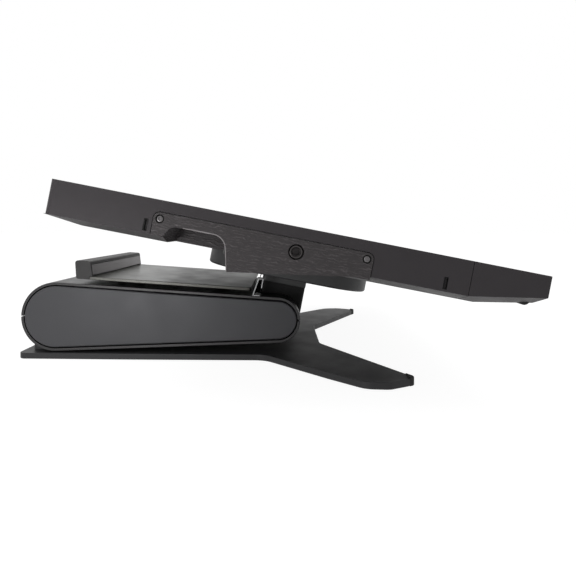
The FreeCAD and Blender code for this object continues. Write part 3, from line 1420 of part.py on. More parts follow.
def make_electronics():
    """Boards, sockets, fan and power button."""
    along = ("board_front", "board_rear")
    top = "board_level + board_thick"
    board = box("main_board_sheet", ("-board_half_width", "board_half_width"), along, ("board_level", top))
    chips = []
    for across, share, size in (("-board_half_width*0.42", "0.3", "large_chip"),
                                ("board_half_width*0.1", "0.6", "middle_chip"),
                                ("board_half_width*0.53", "0.25", "small_chip")):
        place = f"board_front + board_depth*{share}"
        chips.append(box("chip", (f"{across} - {size}/2", f"{across} + {size}/2"),
                         (f"{place} - {size}/2", f"{place} + {size}/2"),
                         ("board_level - chip_height", "board_level")))
    keep("main_board", on_head(fuse("main_board_fuse", board, *chips)))
    power = box("power_board_sheet", ("power_board_start", "power_board_end"), along, ("board_level", top))
    coils = [rod("power_coil", "z", "coil_radius", ("board_level - coil_height", "board_level"),
                 (f"power_board_start + coil_pitch*{step}", "board_front + coil_pitch")) for step in (1, 2)]
    keep("power_board", on_head(fuse("power_board_fuse", power, *coils)))
    block = box("port_block_body", ("-port_half", "port_half"),
                ("display_rear - case_wall - port_depth", "display_rear - port_proud"),
                ("port_top - port_height", "port_top"))
    sockets = []
    for step in (-2, -1, 0, 1):
        middle = f"port_step*{step}"
        sockets.append(box("socket", (f"{middle} - port_width/2", f"{middle} + port_width/2"),
                           ("display_rear - port_depth", "display_rear"),
                           ("port_top - port_height/2 - port_slot/2", "port_top - port_height/2 + port_slot/2")))
    sockets.append(rod("power_inlet", "y", "port_slot/2", ("display_rear - port_depth", "display_rear"),
                       ("inlet_step", "port_top - port_height/2")))
    keep("port_block", on_head(cut("port_block_cut", block, *sockets)))
    make_fan()
    front = "display_rear + button_proud - button_depth"
    button = rod("button_rod", "y", "button_radius", (front, "display_rear + button_proud"),
                 ("button_x", "button_z"))
    def at_face(edge):
        return edge.BoundBox.YMin > value("display_rear + button_proud") - 0.01
    keep("power_button", on_head(rounded("button_cap", button, "button_proud/2", at_face)))


def make_fan():
    """A small blower: its housing stands on the back cover, its rotor turns on a pin."""
    top = "fan_floor + fan_height"
    case = box("fan_case", ("fan_x - fan_half", "fan_x + fan_half"), ("fan_y - fan_half", "fan_y + fan_half"),
               ("fan_floor", top))
    bowl = rod("fan_bowl", "z", "fan_bore", ("fan_floor + fan_wall", f"{top} - fan_wall"), ("fan_x", "fan_y"))
    eye = rod("fan_eye", "z", "fan_bore*0.72", ("fan_floor", "fan_floor + fan_wall"), ("fan_x", "fan_y"))
    spider = box("fan_spider_bar", ("fan_x - fan_half", "fan_x + fan_half"),
                 ("fan_y - fan_spider/2", "fan_y + fan_spider/2"), ("fan_floor", "fan_floor + fan_wall"))
    outlet = box("fan_outlet", ("fan_x - fan_half", "fan_x"), ("fan_y", "fan_y + fan_half"),
                 ("fan_floor + fan_wall", f"{top} - fan_wall"))
    pin = rod("fan_shaft", "z", "fan_pin", ("fan_floor + fan_wall", f"{top} - fan_wall"), ("fan_x", "fan_y"))
    hollow = cut("fan_case_hollow", case, bowl, eye, outlet)
    keep("fan_housing", on_head(fuse("fan_housing_fuse", hollow, spider, pin)))
    low = "fan_floor + fan_wall + turn_gap"
    high = f"{top} - fan_wall - turn_gap"
    hub = rod("rotor_hub_disc", "z", "rotor_hub", (low, high), ("fan_x", "fan_y"))
    disc = rod("rotor_plate_disc", "z", "rotor_radius", (f"{high} - rotor_plate", high), ("fan_x", "fan_y"))
    blades = []
    blade_count = 11
    for number in range(blade_count):
        angle = 360 * number / blade_count
        blade = DOC.addObject("Part::Box", "rotor_blade")
        blade.Placement = FreeCAD.Placement(FreeCAD.Vector(), FreeCAD.Rotation(FreeCAD.Vector(0, 0, 1), angle))
        bind(blade, Length="rotor_radius - rotor_hub/2", Width="blade_thick", Height=f"{high} - ({low})",
             Placement__Base__x=f"fan_x + rotor_hub/2*cos({angle})",
             Placement__Base__y=f"fan_y + rotor_hub/2*sin({angle})", Placement__Base__z=low)
        blades.append(blade)
    blade_ring = common("rotor_blades", fuse("rotor_blade_set", *blades),
                        rod("rotor_limit", "z", "rotor_radius", (low, high), ("fan_x", "fan_y")))
    bore = rod("rotor_bore", "z", "fan_pin + running_gap", (low, high), ("fan_x", "fan_y"))
    keep("fan_rotor", on_head(cut("fan_rotor_cut", fuse("rotor_body", hub, disc, blade_ring), bore)))


def check_document():
    """Stop if any object failed or any sub-part is empty, invalid or has no solid."""
    DOC.recompute()
    for obj in DOC.Objects:
        if "Invalid" in obj.State or "Error" in obj.State:
            raise ValueError(f"{obj.Label} failed: {obj.State}")
    for label, obj in PARTS.items():
        shape = obj.Shape
        if shape.isNull() or not shape.isValid() or not shape.Solids:
            raise ValueError(f"{label} has no valid solid")


def export_parts():
    """Write one STEP file for each sub-part."""
    os.makedirs("parts", exist_ok=True)
    for label, obj in PARTS.items():
        obj.Shape.exportStep(f"parts/{label}.step")
        bounds = obj.Shape.BoundBox
        print(f"{label}: {len(obj.Shape.Solids)} solids, {obj.Shape.Volume / 1000:.2f} cm3, "
              f"x {bounds.XMin:.1f}..{bounds.XMax:.1f} y {bounds.YMin:.1f}..{bounds.YMax:.1f} "
              f"z {bounds.ZMin:.1f}..{bounds.ZMax:.1f}")


make_base_plate()
make_base_feet()
make_pedestal()
make_lift_springs()
make_timing_belt()
make_arm_frame()
make_arm_shells()
make_side_covers()
make_shelf()
make_neck()
make_head_housing()
make_case()
make_front_cover()
make_grips()
make_grip_fasteners()
make_keys()
make_screen_stack()
make_chassis()
make_electronics()
check_document()
export_parts()
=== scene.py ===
"""Dresses a pen display on its lifting arm stand: finishes, fine pieces, studio and camera.

Everything is in metres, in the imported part's own frame: +X is the user's right, +Y points away
from the user and +Z is up. The display, the neck and their pieces are drawn square to the screen,
in a head frame whose origin is on the tilt axis, and are then set at the screen's tilt.
"""
from __future__ import annotations

import json
import logging
import math
from dataclasses import dataclass, replace
from enum import Enum
from typing import Iterable, Sequence

import bmesh
import bpy
from mathutils import Matrix, Vector


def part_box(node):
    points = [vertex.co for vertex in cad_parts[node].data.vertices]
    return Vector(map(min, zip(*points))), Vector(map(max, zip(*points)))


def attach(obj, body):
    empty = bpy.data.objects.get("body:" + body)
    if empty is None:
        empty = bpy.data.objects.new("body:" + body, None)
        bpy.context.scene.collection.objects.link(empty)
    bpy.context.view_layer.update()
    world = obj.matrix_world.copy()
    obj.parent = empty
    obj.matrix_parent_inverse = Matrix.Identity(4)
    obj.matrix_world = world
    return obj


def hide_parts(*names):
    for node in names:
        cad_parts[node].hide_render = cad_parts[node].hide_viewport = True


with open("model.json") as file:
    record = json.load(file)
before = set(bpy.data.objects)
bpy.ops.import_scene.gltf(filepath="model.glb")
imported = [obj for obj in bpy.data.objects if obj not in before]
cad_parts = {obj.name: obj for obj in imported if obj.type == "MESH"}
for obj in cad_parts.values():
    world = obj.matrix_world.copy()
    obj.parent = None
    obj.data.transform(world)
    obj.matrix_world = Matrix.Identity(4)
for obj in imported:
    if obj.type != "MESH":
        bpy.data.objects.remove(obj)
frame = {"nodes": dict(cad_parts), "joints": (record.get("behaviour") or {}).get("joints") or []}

LOG = logging.getLogger("pen_display")
MM = 0.001
DISPLAY_GAMMA = 2.2
WAVE_RADIANS = 20
ONE_LAYER = 1.0
WELD_DISTANCE = 0.002 * MM
FLAT_ANGLE = math.radians(0.4)
HARD_EDGE_ANGLE = math.radians(32)
EASE_FACETS = 3
ON_AXIS = 1e-7
Point = tuple[float, float]
Place = tuple[float, float, float]
Colour = tuple[float, float, float]
Socket = bpy.types.NodeSocket


def shade(red: float, green: float | None = None, blue: float | None = None) -> Colour:
    """Turn display values from 0 to 255 into the linear colour that a shader takes.

    Args:
        red: The red value, or the grey value where the others are left out.
        green: The green value.
        blue: The blue value.

    Returns:
        The linear red, green and blue.
    """
    values = (red, red if green is None else green, red if blue is None else blue)
    return tuple((value / 255) ** DISPLAY_GAMMA for value in values)


class Axis(Enum):
    """A direction of the product, with the letter of its axis."""

    ACROSS = "X"
    ALONG = "Y"
    UP = "Z"


class Side(Enum):
    """A side of the product, with its sign along X."""

    LEFT = -1
    RIGHT = 1

    @property
    def word(self) -> str:
        """The side's name, as its pieces' names have it."""
        return self.name.lower()


class Joining(Enum):
    """How two values make one."""

    LARGER = "MAXIMUM"
    PRODUCT = "MULTIPLY"


class Edge(Enum):
    """How far a carried-over piece's edges are eased, in metres."""

    SHARP = 0.15 * MM
    CRISP = 0.3 * MM
    EASED = 0.6 * MM
    SOFT = 1.2 * MM


class Shader:
    """A material's node tree, with short ways to add and join nodes."""

    def __init__(self, name: str) -> None:
        """Start a material with one Principled shader.

        Args:
            name: The material's name.
        """
        self.material = bpy.data.materials.new(name)
        self.material.use_nodes = True
        self.tree = self.material.node_tree
        self.surface = self.tree.nodes["Principled BSDF"]

    def node(self, kind: str, **settings: object) -> bpy.types.Node:
        """Add a node and set its properties.

        Args:
            kind: The node's type name.
            **settings: Properties to set on it.

        Returns:
            The new node.
        """
        made = self.tree.nodes.new(kind)
        for key, setting in settings.items():
            setattr(made, key, setting)
        return made

    def join(self, source: Socket, target: Socket) -> None:
        """Link one socket to another."""
        self.tree.links.new(source, target)

    def coordinates(self, tilt: float = 0.0, stretch: Sequence[float] = (1, 1, 1)) -> Socket:
        """Give the piece's own coordinates, turned level with the screen and stretched.

        Args:
            tilt: The angle that the piece is turned by about X.
            stretch: How dense a pattern is along each axis.

        Returns:
            The vector socket.
        """
        turned = self.node("ShaderNodeMapping", vector_type="TEXTURE")
        turned.inputs["Rotation"].default_value = (tilt, 0, 0)
        self.join(self.node("ShaderNodeTexCoord").outputs["Object"], turned.inputs["Vector"])
        scaled = self.node("ShaderNodeMapping")
        scaled.inputs["Scale"].default_value = tuple(stretch)
        self.join(turned.outputs["Vector"], scaled.inputs["Vector"])
        return scaled.outputs["Vector"]

    def noise(self, where: Socket, size: float, layers: float = 3.0) -> Socket:
        """Add noise whose blotches are about a given size.

        Args:
            where: The coordinates.
            size: The blotches' size in metres.
            layers: How many layers it has, each finer than the last.

        Returns:
            The noise's value socket.
        """
        made = self.node("ShaderNodeTexNoise")
        made.inputs["Scale"].default_value = 1 / size
        made.inputs["Detail"].default_value = layers
        self.join(where, made.inputs["Vector"])
        return made.outputs["Fac"]

    def spread(self, value: Socket, low: float, high: float,
               start: float = 0.3, end: float = 0.7) -> Socket:
        """Map a value from one range to another, with its ends held.

        Args:
            value: The value socket.
            low: The result at start.
            high: The result at end.
            start: The lowest value.
            end: The highest value.

        Returns:
            The mapped socket.
        """
        made = self.node("ShaderNodeMapRange")
        numbers = {"From Min": start, "From Max": end, "To Min": low, "To Max": high}
        for key, number in numbers.items():
            made.inputs[key].default_value = number
        self.join(value, made.inputs["Value"])
        return made.outputs["Result"]

    def combine(self, first: Socket, second: Socket, how: Joining) -> Socket:
        """Make one value of two.

        Args:
            first: The first value's socket.
            second: The second value's socket.
            how: How they make one.

        Returns:
            The result's socket.
        """
        made = self.node("ShaderNodeMath", operation=how.value)
        self.join(first, made.inputs[0])
        self.join(second, made.inputs[1])
        return made.outputs[0]

    def blend(self, share: Socket, first: Colour, second: Colour) -> Socket:
        """Mix two colours by a value."""
        made = self.node("ShaderNodeMix", data_type="RGBA")
        made.inputs["A"].default_value = (*first, 1)
        made.inputs["B"].default_value = (*second, 1)
        self.join(share, made.inputs["Factor"])
        return made.outputs["Result"]

    def colour(self, source: Socket) -> None:
        """Drive the base colour."""
        self.join(source, self.surface.inputs["Base Color"])

    def roughness(self, source: Socket) -> None:
        """Drive the roughness."""
        self.join(source, self.surface.inputs["Roughness"])

    def bump(self, height: Socket, depth: float) -> None:
        """Raise and lower the surface by a height that runs from 0 to 1.

        Args:
            height: The height socket.
            depth: The tallest step in metres.
        """
        made = self.node("ShaderNodeBump")
        made.inputs["Distance"].default_value = depth
        self.join(height, made.inputs["Height"])
        self.join(made.outputs["Normal"], self.surface.inputs["Normal"])


@dataclass(frozen=True)
class Finish:
    """A surface's name, colour and gloss, which every kind of finish has."""

    name: str
    colour: Colour
    roughness: float = 0.5
    metallic: float = 0.0
    gloss: float = 0.5
    roughness_change: float = 0.04
    roughness_blotch: float = 0.4

    def material(self) -> bpy.types.Material:
        """Give the finish's material, made at its first use.

        Returns:
            The material.
        """
        found = bpy.data.materials.get(self.name)
        if found:
            return found
        shader = Shader(self.name)
        shader.surface.inputs["Base Color"].default_value = (*self.colour, 1)
        shader.surface.inputs["Roughness"].default_value = self.roughness
        shader.surface.inputs["Metallic"].default_value = self.metallic
        shader.surface.inputs["Specular IOR Level"].default_value = self.gloss
        shader.material.diffuse_color = (*self.colour, 1)
        self.detail(shader)
        return shader.material

    def detail(self, shader: Shader) -> None:
        """Add the pattern that this kind of finish has.

        Args:
            shader: The material's node tree.
        """
        raise NotImplementedError

    def shaded(self, share: float) -> Colour:
        """Give the finish's colour, made darker or lighter by a share."""
        return tuple(part * share for part in self.colour)

    def vary_roughness(self, shader: Shader, source: Socket, change: float) -> None:
        """Let the roughness fall and rise with a value, by the same change each way."""
        shader.roughness(shader.spread(source, self.roughness - change, self.roughness + change))

    def mottle(self, shader: Shader, where: Socket, size: float, change: float) -> None:
        """Vary the colour and the gloss a little in large soft blotches.

        Args:
            shader: The material's node tree.
            where: The coordinates.
            size: The blotches' size in metres.
            change: The share by which the colour changes.
        """
        blotch = shader.spread(shader.noise(where, size), 0, 1)
        shader.colour(shader.blend(blotch, self.shaded(1 - change), self.shaded(1 + change)))
        self.vary_roughness(shader, shader.noise(where, size * self.roughness_blotch), self.roughness_change)


@dataclass(frozen=True)
class Moulded(Finish):
    """Moulded plastic with the fine spark texture of its mould."""

    blotch: float = 30 * MM
    mottling: float = 0.05
    spark: float = 0.5 * MM
    spark_layers: float = 2.0
    depth: float = 0.03 * MM

    def detail(self, shader: Shader) -> None:
        """Add the spark texture and a faint mottling."""
        where = shader.coordinates()
        self.mottle(shader, where, self.blotch, self.mottling)
        shader.bump(shader.noise(where, self.spark, self.spark_layers), self.depth)


@dataclass(frozen=True)
class Leather(Finish):
    """Moulded leather grain: wavy creases that run along the grip."""

    tilt: float = 0.0
    spacing: float = 2.3 * MM
    fine_share: float = 0.55
    fine_height: float = 0.5
    length: float = 1.8
    wander: float = 7.5
    wander_layers: float = 2.0
    wander_scale: float = 1.6
    crest: Point = (0.55, 0.95)
    gap: Point = (0.42, 0.56)
    gap_spacing: float = 1.6
    # colour shares for the painted shade in the valleys and the painted highlight on the crests
    valley_shade: float = 0.85
    crest_shade: float = 1.75
    crest_polish: float = 0.1
    depth: float = 0.3 * MM

    def detail(self, shader: Shader) -> None:
        """Add wavy ridges that run along the grip, broken up by noise, with painted shade in the valleys and
        a painted highlight on the crests.
        """
        where = shader.coordinates(self.tilt, (1, 1 / self.length, 1))
        coarse = self.ridges(shader, where, self.spacing)
        fine = self.ridges(shader, where, self.spacing * self.fine_share)
        height = shader.combine(coarse, shader.spread(fine, 0, self.fine_height, 0, 1), Joining.LARGER)
        # painted shade: the valleys darker; painted highlight: the crests lighter
        shader.colour(shader.blend(height, self.shaded(self.valley_shade), self.shaded(self.crest_shade)))
        shader.roughness(shader.spread(height, self.roughness, self.roughness - self.crest_polish, 0, 1))
        shader.bump(height, self.depth)

    def ridges(self, shader: Shader, where: Socket, spacing: float) -> Socket:
        """Give a height that rises to 1 along wavy, broken ridges.

        Args:
            shader: The material's node tree.
            where: The coordinates, pulled out along the grip.
            spacing: How far apart the ridges lie.

        Returns:
            The height socket.
        """
        wave = shader.node("ShaderNodeTexWave", wave_type="BANDS", bands_direction=Axis.UP.value)
        wave.inputs["Scale"].default_value = 2 * math.pi / (WAVE_RADIANS * spacing)
        wave.inputs["Distortion"].default_value = self.wander
        wave.inputs["Detail"].default_value = self.wander_layers
        wave.inputs["Detail Scale"].default_value = self.wander_scale
        shader.join(where, wave.inputs["Vector"])
        ridge = shader.spread(wave.outputs["Fac"], 0, 1, *self.crest)
        breaks = shader.noise(where, spacing * self.gap_spacing, ONE_LAYER)
        return shader.combine(ridge, shader.spread(breaks, 0, 1, *self.gap), Joining.PRODUCT)


@dataclass(frozen=True)
class Coated(Finish):
    """A satin coat on metal with a faint orange peel."""

    blotch: float = 60 * MM
    mottling: float = 0.03
    peel: float = 1.2 * MM
    depth: float = 0.02 * MM

    def detail(self, shader: Shader) -> None:
        """Add the peel and a soft change of gloss."""
        where = shader.coordinates()
        self.mottle(shader, where, self.blotch, self.mottling)
        shader.bump(shader.noise(where, self.peel, ONE_LAYER), self.depth)


@dataclass(frozen=True)
class Brushed(Finish):
    """Metal brushed in one direction."""

    metallic: float = 1.0
    grain: Axis = Axis.ACROSS
    grain_density: float = 0.02
    stroke: float = 0.25 * MM
    stroke_layers: float = 4.0
    stroke_shade: float = 0.82
    stroke_roughness: float = 0.08
    depth: float = 0.01 * MM

    def detail(self, shader: Shader) -> None:
        """Add long thin strokes to the gloss, the colour and the surface."""
        stretch = [self.grain_density if axis is self.grain else 1.0 for axis in Axis]
        strokes = shader.noise(shader.coordinates(stretch=stretch), self.stroke, self.stroke_layers)
        darker = self.shaded(self.stroke_shade)
        shader.colour(shader.blend(shader.spread(strokes, 0, 1), darker, self.colour))
        self.vary_roughness(shader, strokes, self.stroke_roughness)
        shader.bump(strokes, self.depth)


@dataclass(frozen=True)
class Turned(Finish):
    """Machined metal with fine turning marks and a little tarnish."""

    metallic: float = 1.0
    blotch: float = 3 * MM
    tarnish: float = 0.12
    mark: float = 0.15 * MM
    depth: float = 0.008 * MM

    def detail(self, shader: Shader) -> None:
        """Add the tarnish and the marks."""
        where = shader.coordinates()
        self.mottle(shader, where, self.blotch, self.tarnish)
        shader.bump(shader.noise(where, self.mark, ONE_LAYER), self.depth)


@dataclass(frozen=True)
class Rubber(Finish):
    """Matt rubber with a dusty, pitted skin."""

    roughness: float = 0.85
    blotch: float = 4 * MM
    dust: float = 0.15
    pit: float = 0.4 * MM
    pit_layers: float = 4.0
    depth: float = 0.05 * MM

    def detail(self, shader: Shader) -> None:
        """Add the pits and the dust."""
        where = shader.coordinates()
        self.mottle(shader, where, self.blotch, self.dust)
        shader.bump(shader.noise(where, self.pit, self.pit_layers), self.depth)


@dataclass(frozen=True)
class Board(Finish):
    """Solder mask over copper tracks."""

    copper: Colour = shade(52, 104, 74)
    cell: float = 4.2 * MM
    track: Point = (0.36, 0.4)
    depth: float = 0.03 * MM

    def detail(self, shader: Shader) -> None:
        """Add the tracks as squared-off cells."""
        cells = shader.node("ShaderNodeTexVoronoi", distance="CHEBYCHEV", feature="F1")
        cells.inputs["Scale"].default_value = 1 / self.cell
        shader.join(shader.coordinates(), cells.inputs["Vector"])
        tracks = shader.spread(cells.outputs["Distance"], 0, 1, *self.track)
        shader.colour(shader.blend(tracks, self.colour, self.copper))
        shader.bump(tracks, self.depth)


@dataclass(frozen=True)
class EtchedGlass(Finish):
    """The screen's matt glass: a black printed border round a slightly lighter panel."""

    roughness_change: float = 0.02
    panel: Colour = shade(30, 31, 34)
    tilt: float = 0.0
    middle: Sequence[float] = (0.0, 0.0, 0.0)
    half_size: Point = (0.3, 0.17)
    border_fade: float = 0.3 * MM
    blotch: float = 80 * MM
    etch: float = 0.12 * MM
    depth: float = 0.004 * MM
    refraction: float = 1.5
    coat: float = 0.15

    def detail(self, shader: Shader) -> None:
        """Print the border by the distance from the panel's middle and add the etched grain."""
        centred = shader.node("ShaderNodeMapping", vector_type="TEXTURE")
        centred.inputs["Location"].default_value = tuple(self.middle)
        centred.inputs["Rotation"].default_value = (self.tilt, 0, 0)
        shader.join(shader.node("ShaderNodeTexCoord").outputs["Object"], centred.inputs["Vector"])
        parts = shader.node("ShaderNodeSeparateXYZ")
        shader.join(centred.outputs["Vector"], parts.inputs["Vector"])
        inside = []
        for axis, half in zip(Axis, self.half_size):
            size = shader.node("ShaderNodeMath", operation="ABSOLUTE")
            shader.join(parts.outputs[axis.value], size.inputs[0])
            inside.append(shader.spread(size.outputs[0], 1, 0, half - self.border_fade, half))
        shader.colour(shader.blend(shader.combine(*inside, Joining.PRODUCT), self.colour, self.panel))
        where = shader.coordinates()
        self.vary_roughness(shader, shader.noise(where, self.blotch), self.roughness_change)
        shader.bump(shader.noise(where, self.etch, ONE_LAYER), self.depth)
        shader.surface.inputs["IOR"].default_value = self.refraction
        shader.surface.inputs["Coat Weight"].default_value = self.coat


@dataclass(frozen=True)
class HeadFrame:
    """The frame that is square to the screen, with its origin on the tilt axis."""

    origin: Vector
    tilt: float

    @classmethod
    def from_joints(cls, joints: Iterable[dict]) -> HeadFrame:
        """Read the frame from the tilt hinge and the display's turning axis.

        Args:
            joints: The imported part's joints.

        Returns:
            The head frame at rest.
        """
        named = {joint["name"]: joint for joint in joints}
        normal = named["display_rotation"]["axis"]
        return cls(Vector(named["display_tilt"]["pos_m"]), math.atan2(-normal[1], normal[2]))

    @property
    def matrix(self) -> Matrix:
        """The transform from the head frame to the part's frame."""
        return Matrix.Translation(self.origin) @ Matrix.Rotation(self.tilt, 4, Axis.ACROSS.value)

    def inverse_point(self, point: Vector) -> Vector:
        """Give a point of the part's frame in the head frame."""
        return self.matrix.inverted() @ point


HEAD = HeadFrame.from_joints(frame["joints"])


class Palette:
    """The finishes of the whole product."""

    casing = Moulded("warm_black_casing", shade(45, 42, 44), roughness=0.55, gloss=0.28)
    back = Moulded("back_casing", shade(42, 40, 41), roughness=0.52, gloss=0.28)
    hump = Moulded("hump_casing", shade(44, 44, 45), roughness=0.45, gloss=0.4)
    neck = Moulded("neck_black", shade(9, 8, 9), roughness=0.55, gloss=0.18)
    grip = Leather("grip_leather", shade(50, 47, 48), roughness=0.52, gloss=0.3, tilt=HEAD.tilt)
    # a pale colour for the arch beads: a painted highlight along the finger arch's rim
    grip_edge = Moulded("grip_edge", shade(104, 100, 101), roughness=0.4)
    glass = EtchedGlass("etched_glass", shade(20, 20, 21), roughness=0.24, tilt=HEAD.tilt)
    arm_shell = Coated("arm_shell_coat", shade(40, 39, 40), roughness=0.42, metallic=0.2)
    arm_cover = Coated("arm_cover_coat", shade(68, 68, 70), roughness=0.45, metallic=0.25, gloss=0.22)
    plate = Coated("base_plate_coat", shade(46, 46, 47), roughness=0.5, metallic=0.1, gloss=0.28)
    shelf = Coated("shelf_coat", shade(64, 64, 60), roughness=0.33, metallic=0.4)
    lip = Moulded("lip_plastic", shade(46, 45, 45), roughness=0.5, gloss=0.3)
    pad = Brushed("lip_pad_brushed", shade(122, 119, 120), roughness=0.45)
    frame_black = Coated("frame_black", shade(30, 30, 31), roughness=0.5)
    steel = Turned("turned_steel", shade(150, 150, 152), roughness=0.3)
    dark_steel = Turned("blackened_steel", shade(60, 60, 62), roughness=0.38)
    spring = Turned("bent_spring_steel", shade(132, 132, 133), roughness=0.4)
    screw = Turned("grip_screw_steel", shade(98, 96, 97), roughness=0.42)
    pulley = Turned("pulley_aluminium", shade(170, 171, 173), roughness=0.35)
    bronze = Turned("plain_bronze", shade(170, 135, 84), roughness=0.4)
    insert = Turned("insert_blackened", shade(62, 60, 60), roughness=0.4)
    rubber = Rubber("black_rubber", shade(34, 34, 34))
    soft_rubber = Rubber("grey_rubber", shade(48, 48, 48))
    belt = Rubber("belt_rubber", shade(24, 24, 24))
    friction = Moulded("friction_washer", shade(196, 190, 176), roughness=0.6)
    sheet_metal = Brushed("pressed_sheet", shade(168, 169, 171), roughness=0.4)
    panel = Moulded("panel_black", shade(28, 29, 32), roughness=0.4)
    board = Board("solder_mask_green", shade(24, 66, 44), roughness=0.4)
    # near-black for the port block, and painted shade in the slot liners and the screw cups
    port = Moulded("port_black_and_painted_shade", shade(14, 14, 14), roughness=0.6, gloss=0.15)
    fan = Moulded("fan_black", shade(34, 34, 35), roughness=0.5)
    key = Moulded("key_black", shade(38, 38, 39), roughness=0.38, spark=0.3 * MM)


def add_modifier(piece: bpy.types.Object, kind: str, name: str, **settings: object) -> None:
    """Add a modifier and set its properties.

    Args:
        piece: The object that gets it.
        kind: The modifier's type.
        name: The modifier's name.
        **settings: Properties to set on it.
    """
    made = piece.modifiers.new(name, kind)
    for key, setting in settings.items():
        setattr(made, key, setting)


def ease(piece: bpy.types.Object, edge: Edge) -> None:
    """Ease a piece's hard edges, so that they catch the light as real ones do.

    Args:
        piece: The object to ease.
        edge: How far its edges are eased.
    """
    for polygon in piece.data.polygons:
        polygon.use_smooth = True
    add_modifier(piece, "WELD", "weld", merge_threshold=WELD_DISTANCE)
    add_modifier(piece, "DECIMATE", "flat_faces", decimate_type="DISSOLVE", angle_limit=FLAT_ANGLE)
    add_modifier(piece, "BEVEL", "ease", width=edge.value, segments=EASE_FACETS, limit_method="ANGLE",
                 angle_limit=HARD_EDGE_ANGLE, harden_normals=True, use_clamp_overlap=True,
                 miter_outer="MITER_ARC")
    add_modifier(piece, "WEIGHTED_NORMAL", "weighted", keep_sharp=True)


def dress(node: str, finish: Finish, edge: Edge) -> None:
    """Give a carried-over piece its finish and ease its edges.

    Args:
        node: The piece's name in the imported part.
        finish: Its finish.
        edge: How far its edges are eased.
    """
    piece = frame["nodes"][node]
    piece.data.materials.clear()
    piece.data.materials.append(finish.material())
    ease(piece, edge)
    LOG.info("%s dressed in %s", node, finish.name)


def from_bmesh(name: str, work: bmesh.types.BMesh, finish: Finish) -> bpy.types.Object:
    """Turn a finished working mesh into an object of the scene.

    Args:
        name: The piece's name.
        work: The working mesh, which is freed.
        finish: The piece's finish.

    Returns:
        The new object.
    """
    mesh = bpy.data.meshes.new(name)
    bmesh.ops.recalc_face_normals(work, faces=work.faces)
    work.to_mesh(mesh)
    work.free()
    mesh.materials.append(finish.material())
    for polygon in mesh.polygons:
        polygon.use_smooth = True
    piece = bpy.data.objects.new(name, mesh)
    bpy.context.scene.collection.objects.link(piece)
    LOG.info("%s made in %s", name, finish.name)
    return piece


def turned(work: bmesh.types.BMesh, profile: Sequence[Point], place: Matrix, count: int) -> None:
    """Add a closed turned solid to a working mesh.

    Args:
        work: The working mesh.
        profile: Radius and height of each corner, from axis to axis or as a closed loop round a hole.
        place: Where the turned solid goes; its axis is the matrix's Z.
        count: How many facets it has round it.
    """
    rings = []
    for radius, height in profile:
        if radius < ON_AXIS:
            rings.append([work.verts.new(place @ Vector((0, 0, height)))])
            continue
        ring = []
        for step in range(count):
            angle = 2 * math.pi * step / count
            spot = Vector((radius * math.cos(angle), radius * math.sin(angle), height))
            ring.append(work.verts.new(place @ spot))
        rings.append(ring)
    closed = len(rings[0]) > 1 and len(rings[-1]) > 1
    pairs = list(zip(rings, rings[1:]))
    if closed:
        pairs.append((rings[-1], rings[0]))
    for first, second in pairs:
        for step in range(count):
            following = (step + 1) % count
            corners = [first[step % len(first)], first[following % len(first)],
                       second[following % len(second)], second[step % len(second)]]
            corners = list(dict.fromkeys(corners))
            if len(corners) > 2:
                work.faces.new(corners)


def join_loops(work: bmesh.types.BMesh, first: Sequence[bmesh.types.BMVert],
               second: Sequence[bmesh.types.BMVert]) -> None:
    """Close the band between two loops of as many points with four-sided faces."""
    for step in range(len(first)):
        following = (step + 1) % len(first)
        work.faces.new((first[step], first[following], second[following], second[step]))


def rounded_path(corners: Sequence[Point], radius: float, steps: int = 12) -> list[Point]:
    """Round the inner corners of an open path.

    Args:
        corners: The path's corners, its two ends included.
        radius: The radius at each inner corner.
        steps: How many points each round corner gets.

    Returns:
        The path's points in order.
    """
    path = [Vector(corners[0])]
    for before, corner, after in zip(corners, corners[1:], corners[2:]):
        start = (Vector(before) - Vector(corner)).normalized()
        end = (Vector(after) - Vector(corner)).normalized()
        half_angle = start.angle(end) / 2
        inwards = (start + end).normalized()
        centre = Vector(corner) + inwards * radius / math.sin(half_angle)
        sweep = math.pi - 2 * half_angle
        turn = 1 if start.cross(end) < 0 else -1
        middle_angle = math.atan2(-inwards.y, -inwards.x)
        for step in range(steps + 1):
            angle = middle_angle + turn * sweep * (step / steps - 0.5)
            path.append(centre + radius * Vector((math.cos(angle), math.sin(angle))))
    path.append(Vector(corners[-1]))
    return [(point.x, point.y) for point in path]


def add_tube(work: bmesh.types.BMesh, spots: Sequence[Vector], radius: float, count: int = 8) -> None:
    """Add a round tube with closed ends along points that lie in one upright plane across X.

    Args:
        work: The working mesh.
        spots: The points along the tube's middle.
        radius: The tube's radius.
        count: How many facets it has round it.
    """
    across = Vector((1, 0, 0))
    rings = []
    for place, spot in enumerate(spots):
        before = spots[max(place - 1, 0)]
        after = spots[min(place + 1, len(spots) - 1)]
        outwards = (after - before).normalized().cross(across)
        angles = [2 * math.pi * step / count for step in range(count)]
        rings.append([work.verts.new(spot + radius * (across * math.cos(angle) + outwards * math.sin(angle)))
                      for angle in angles])
    for first, second in zip(rings, rings[1:]):
        join_loops(work, first, second)
    work.faces.new(rings[0])
    work.faces.new(rings[-1])


def side_place(along: float, up: float, side: Side) -> Matrix:
    """Give the place of a turned piece on the display's side, its axis pointing outwards.

    Args:
        along: The place along the display, in the head frame.
        up: The place square to the screen, in the head frame.
        side: The side of the display.

    Returns:
        The transform, with its origin on the middle plane.
    """
    outwards = Matrix.Rotation(side.value * math.pi / 2, 4, Axis.ALONG.value)
    return HEAD.matrix @ Matrix.Translation((0, along, up)) @ outwards


def split_edges(piece: bpy.types.Object, angle: float) -> None:
    """Keep the edges of a made piece crisp where they turn by more than an angle."""
    add_modifier(piece, "EDGE_SPLIT", "crisp", split_angle=angle)


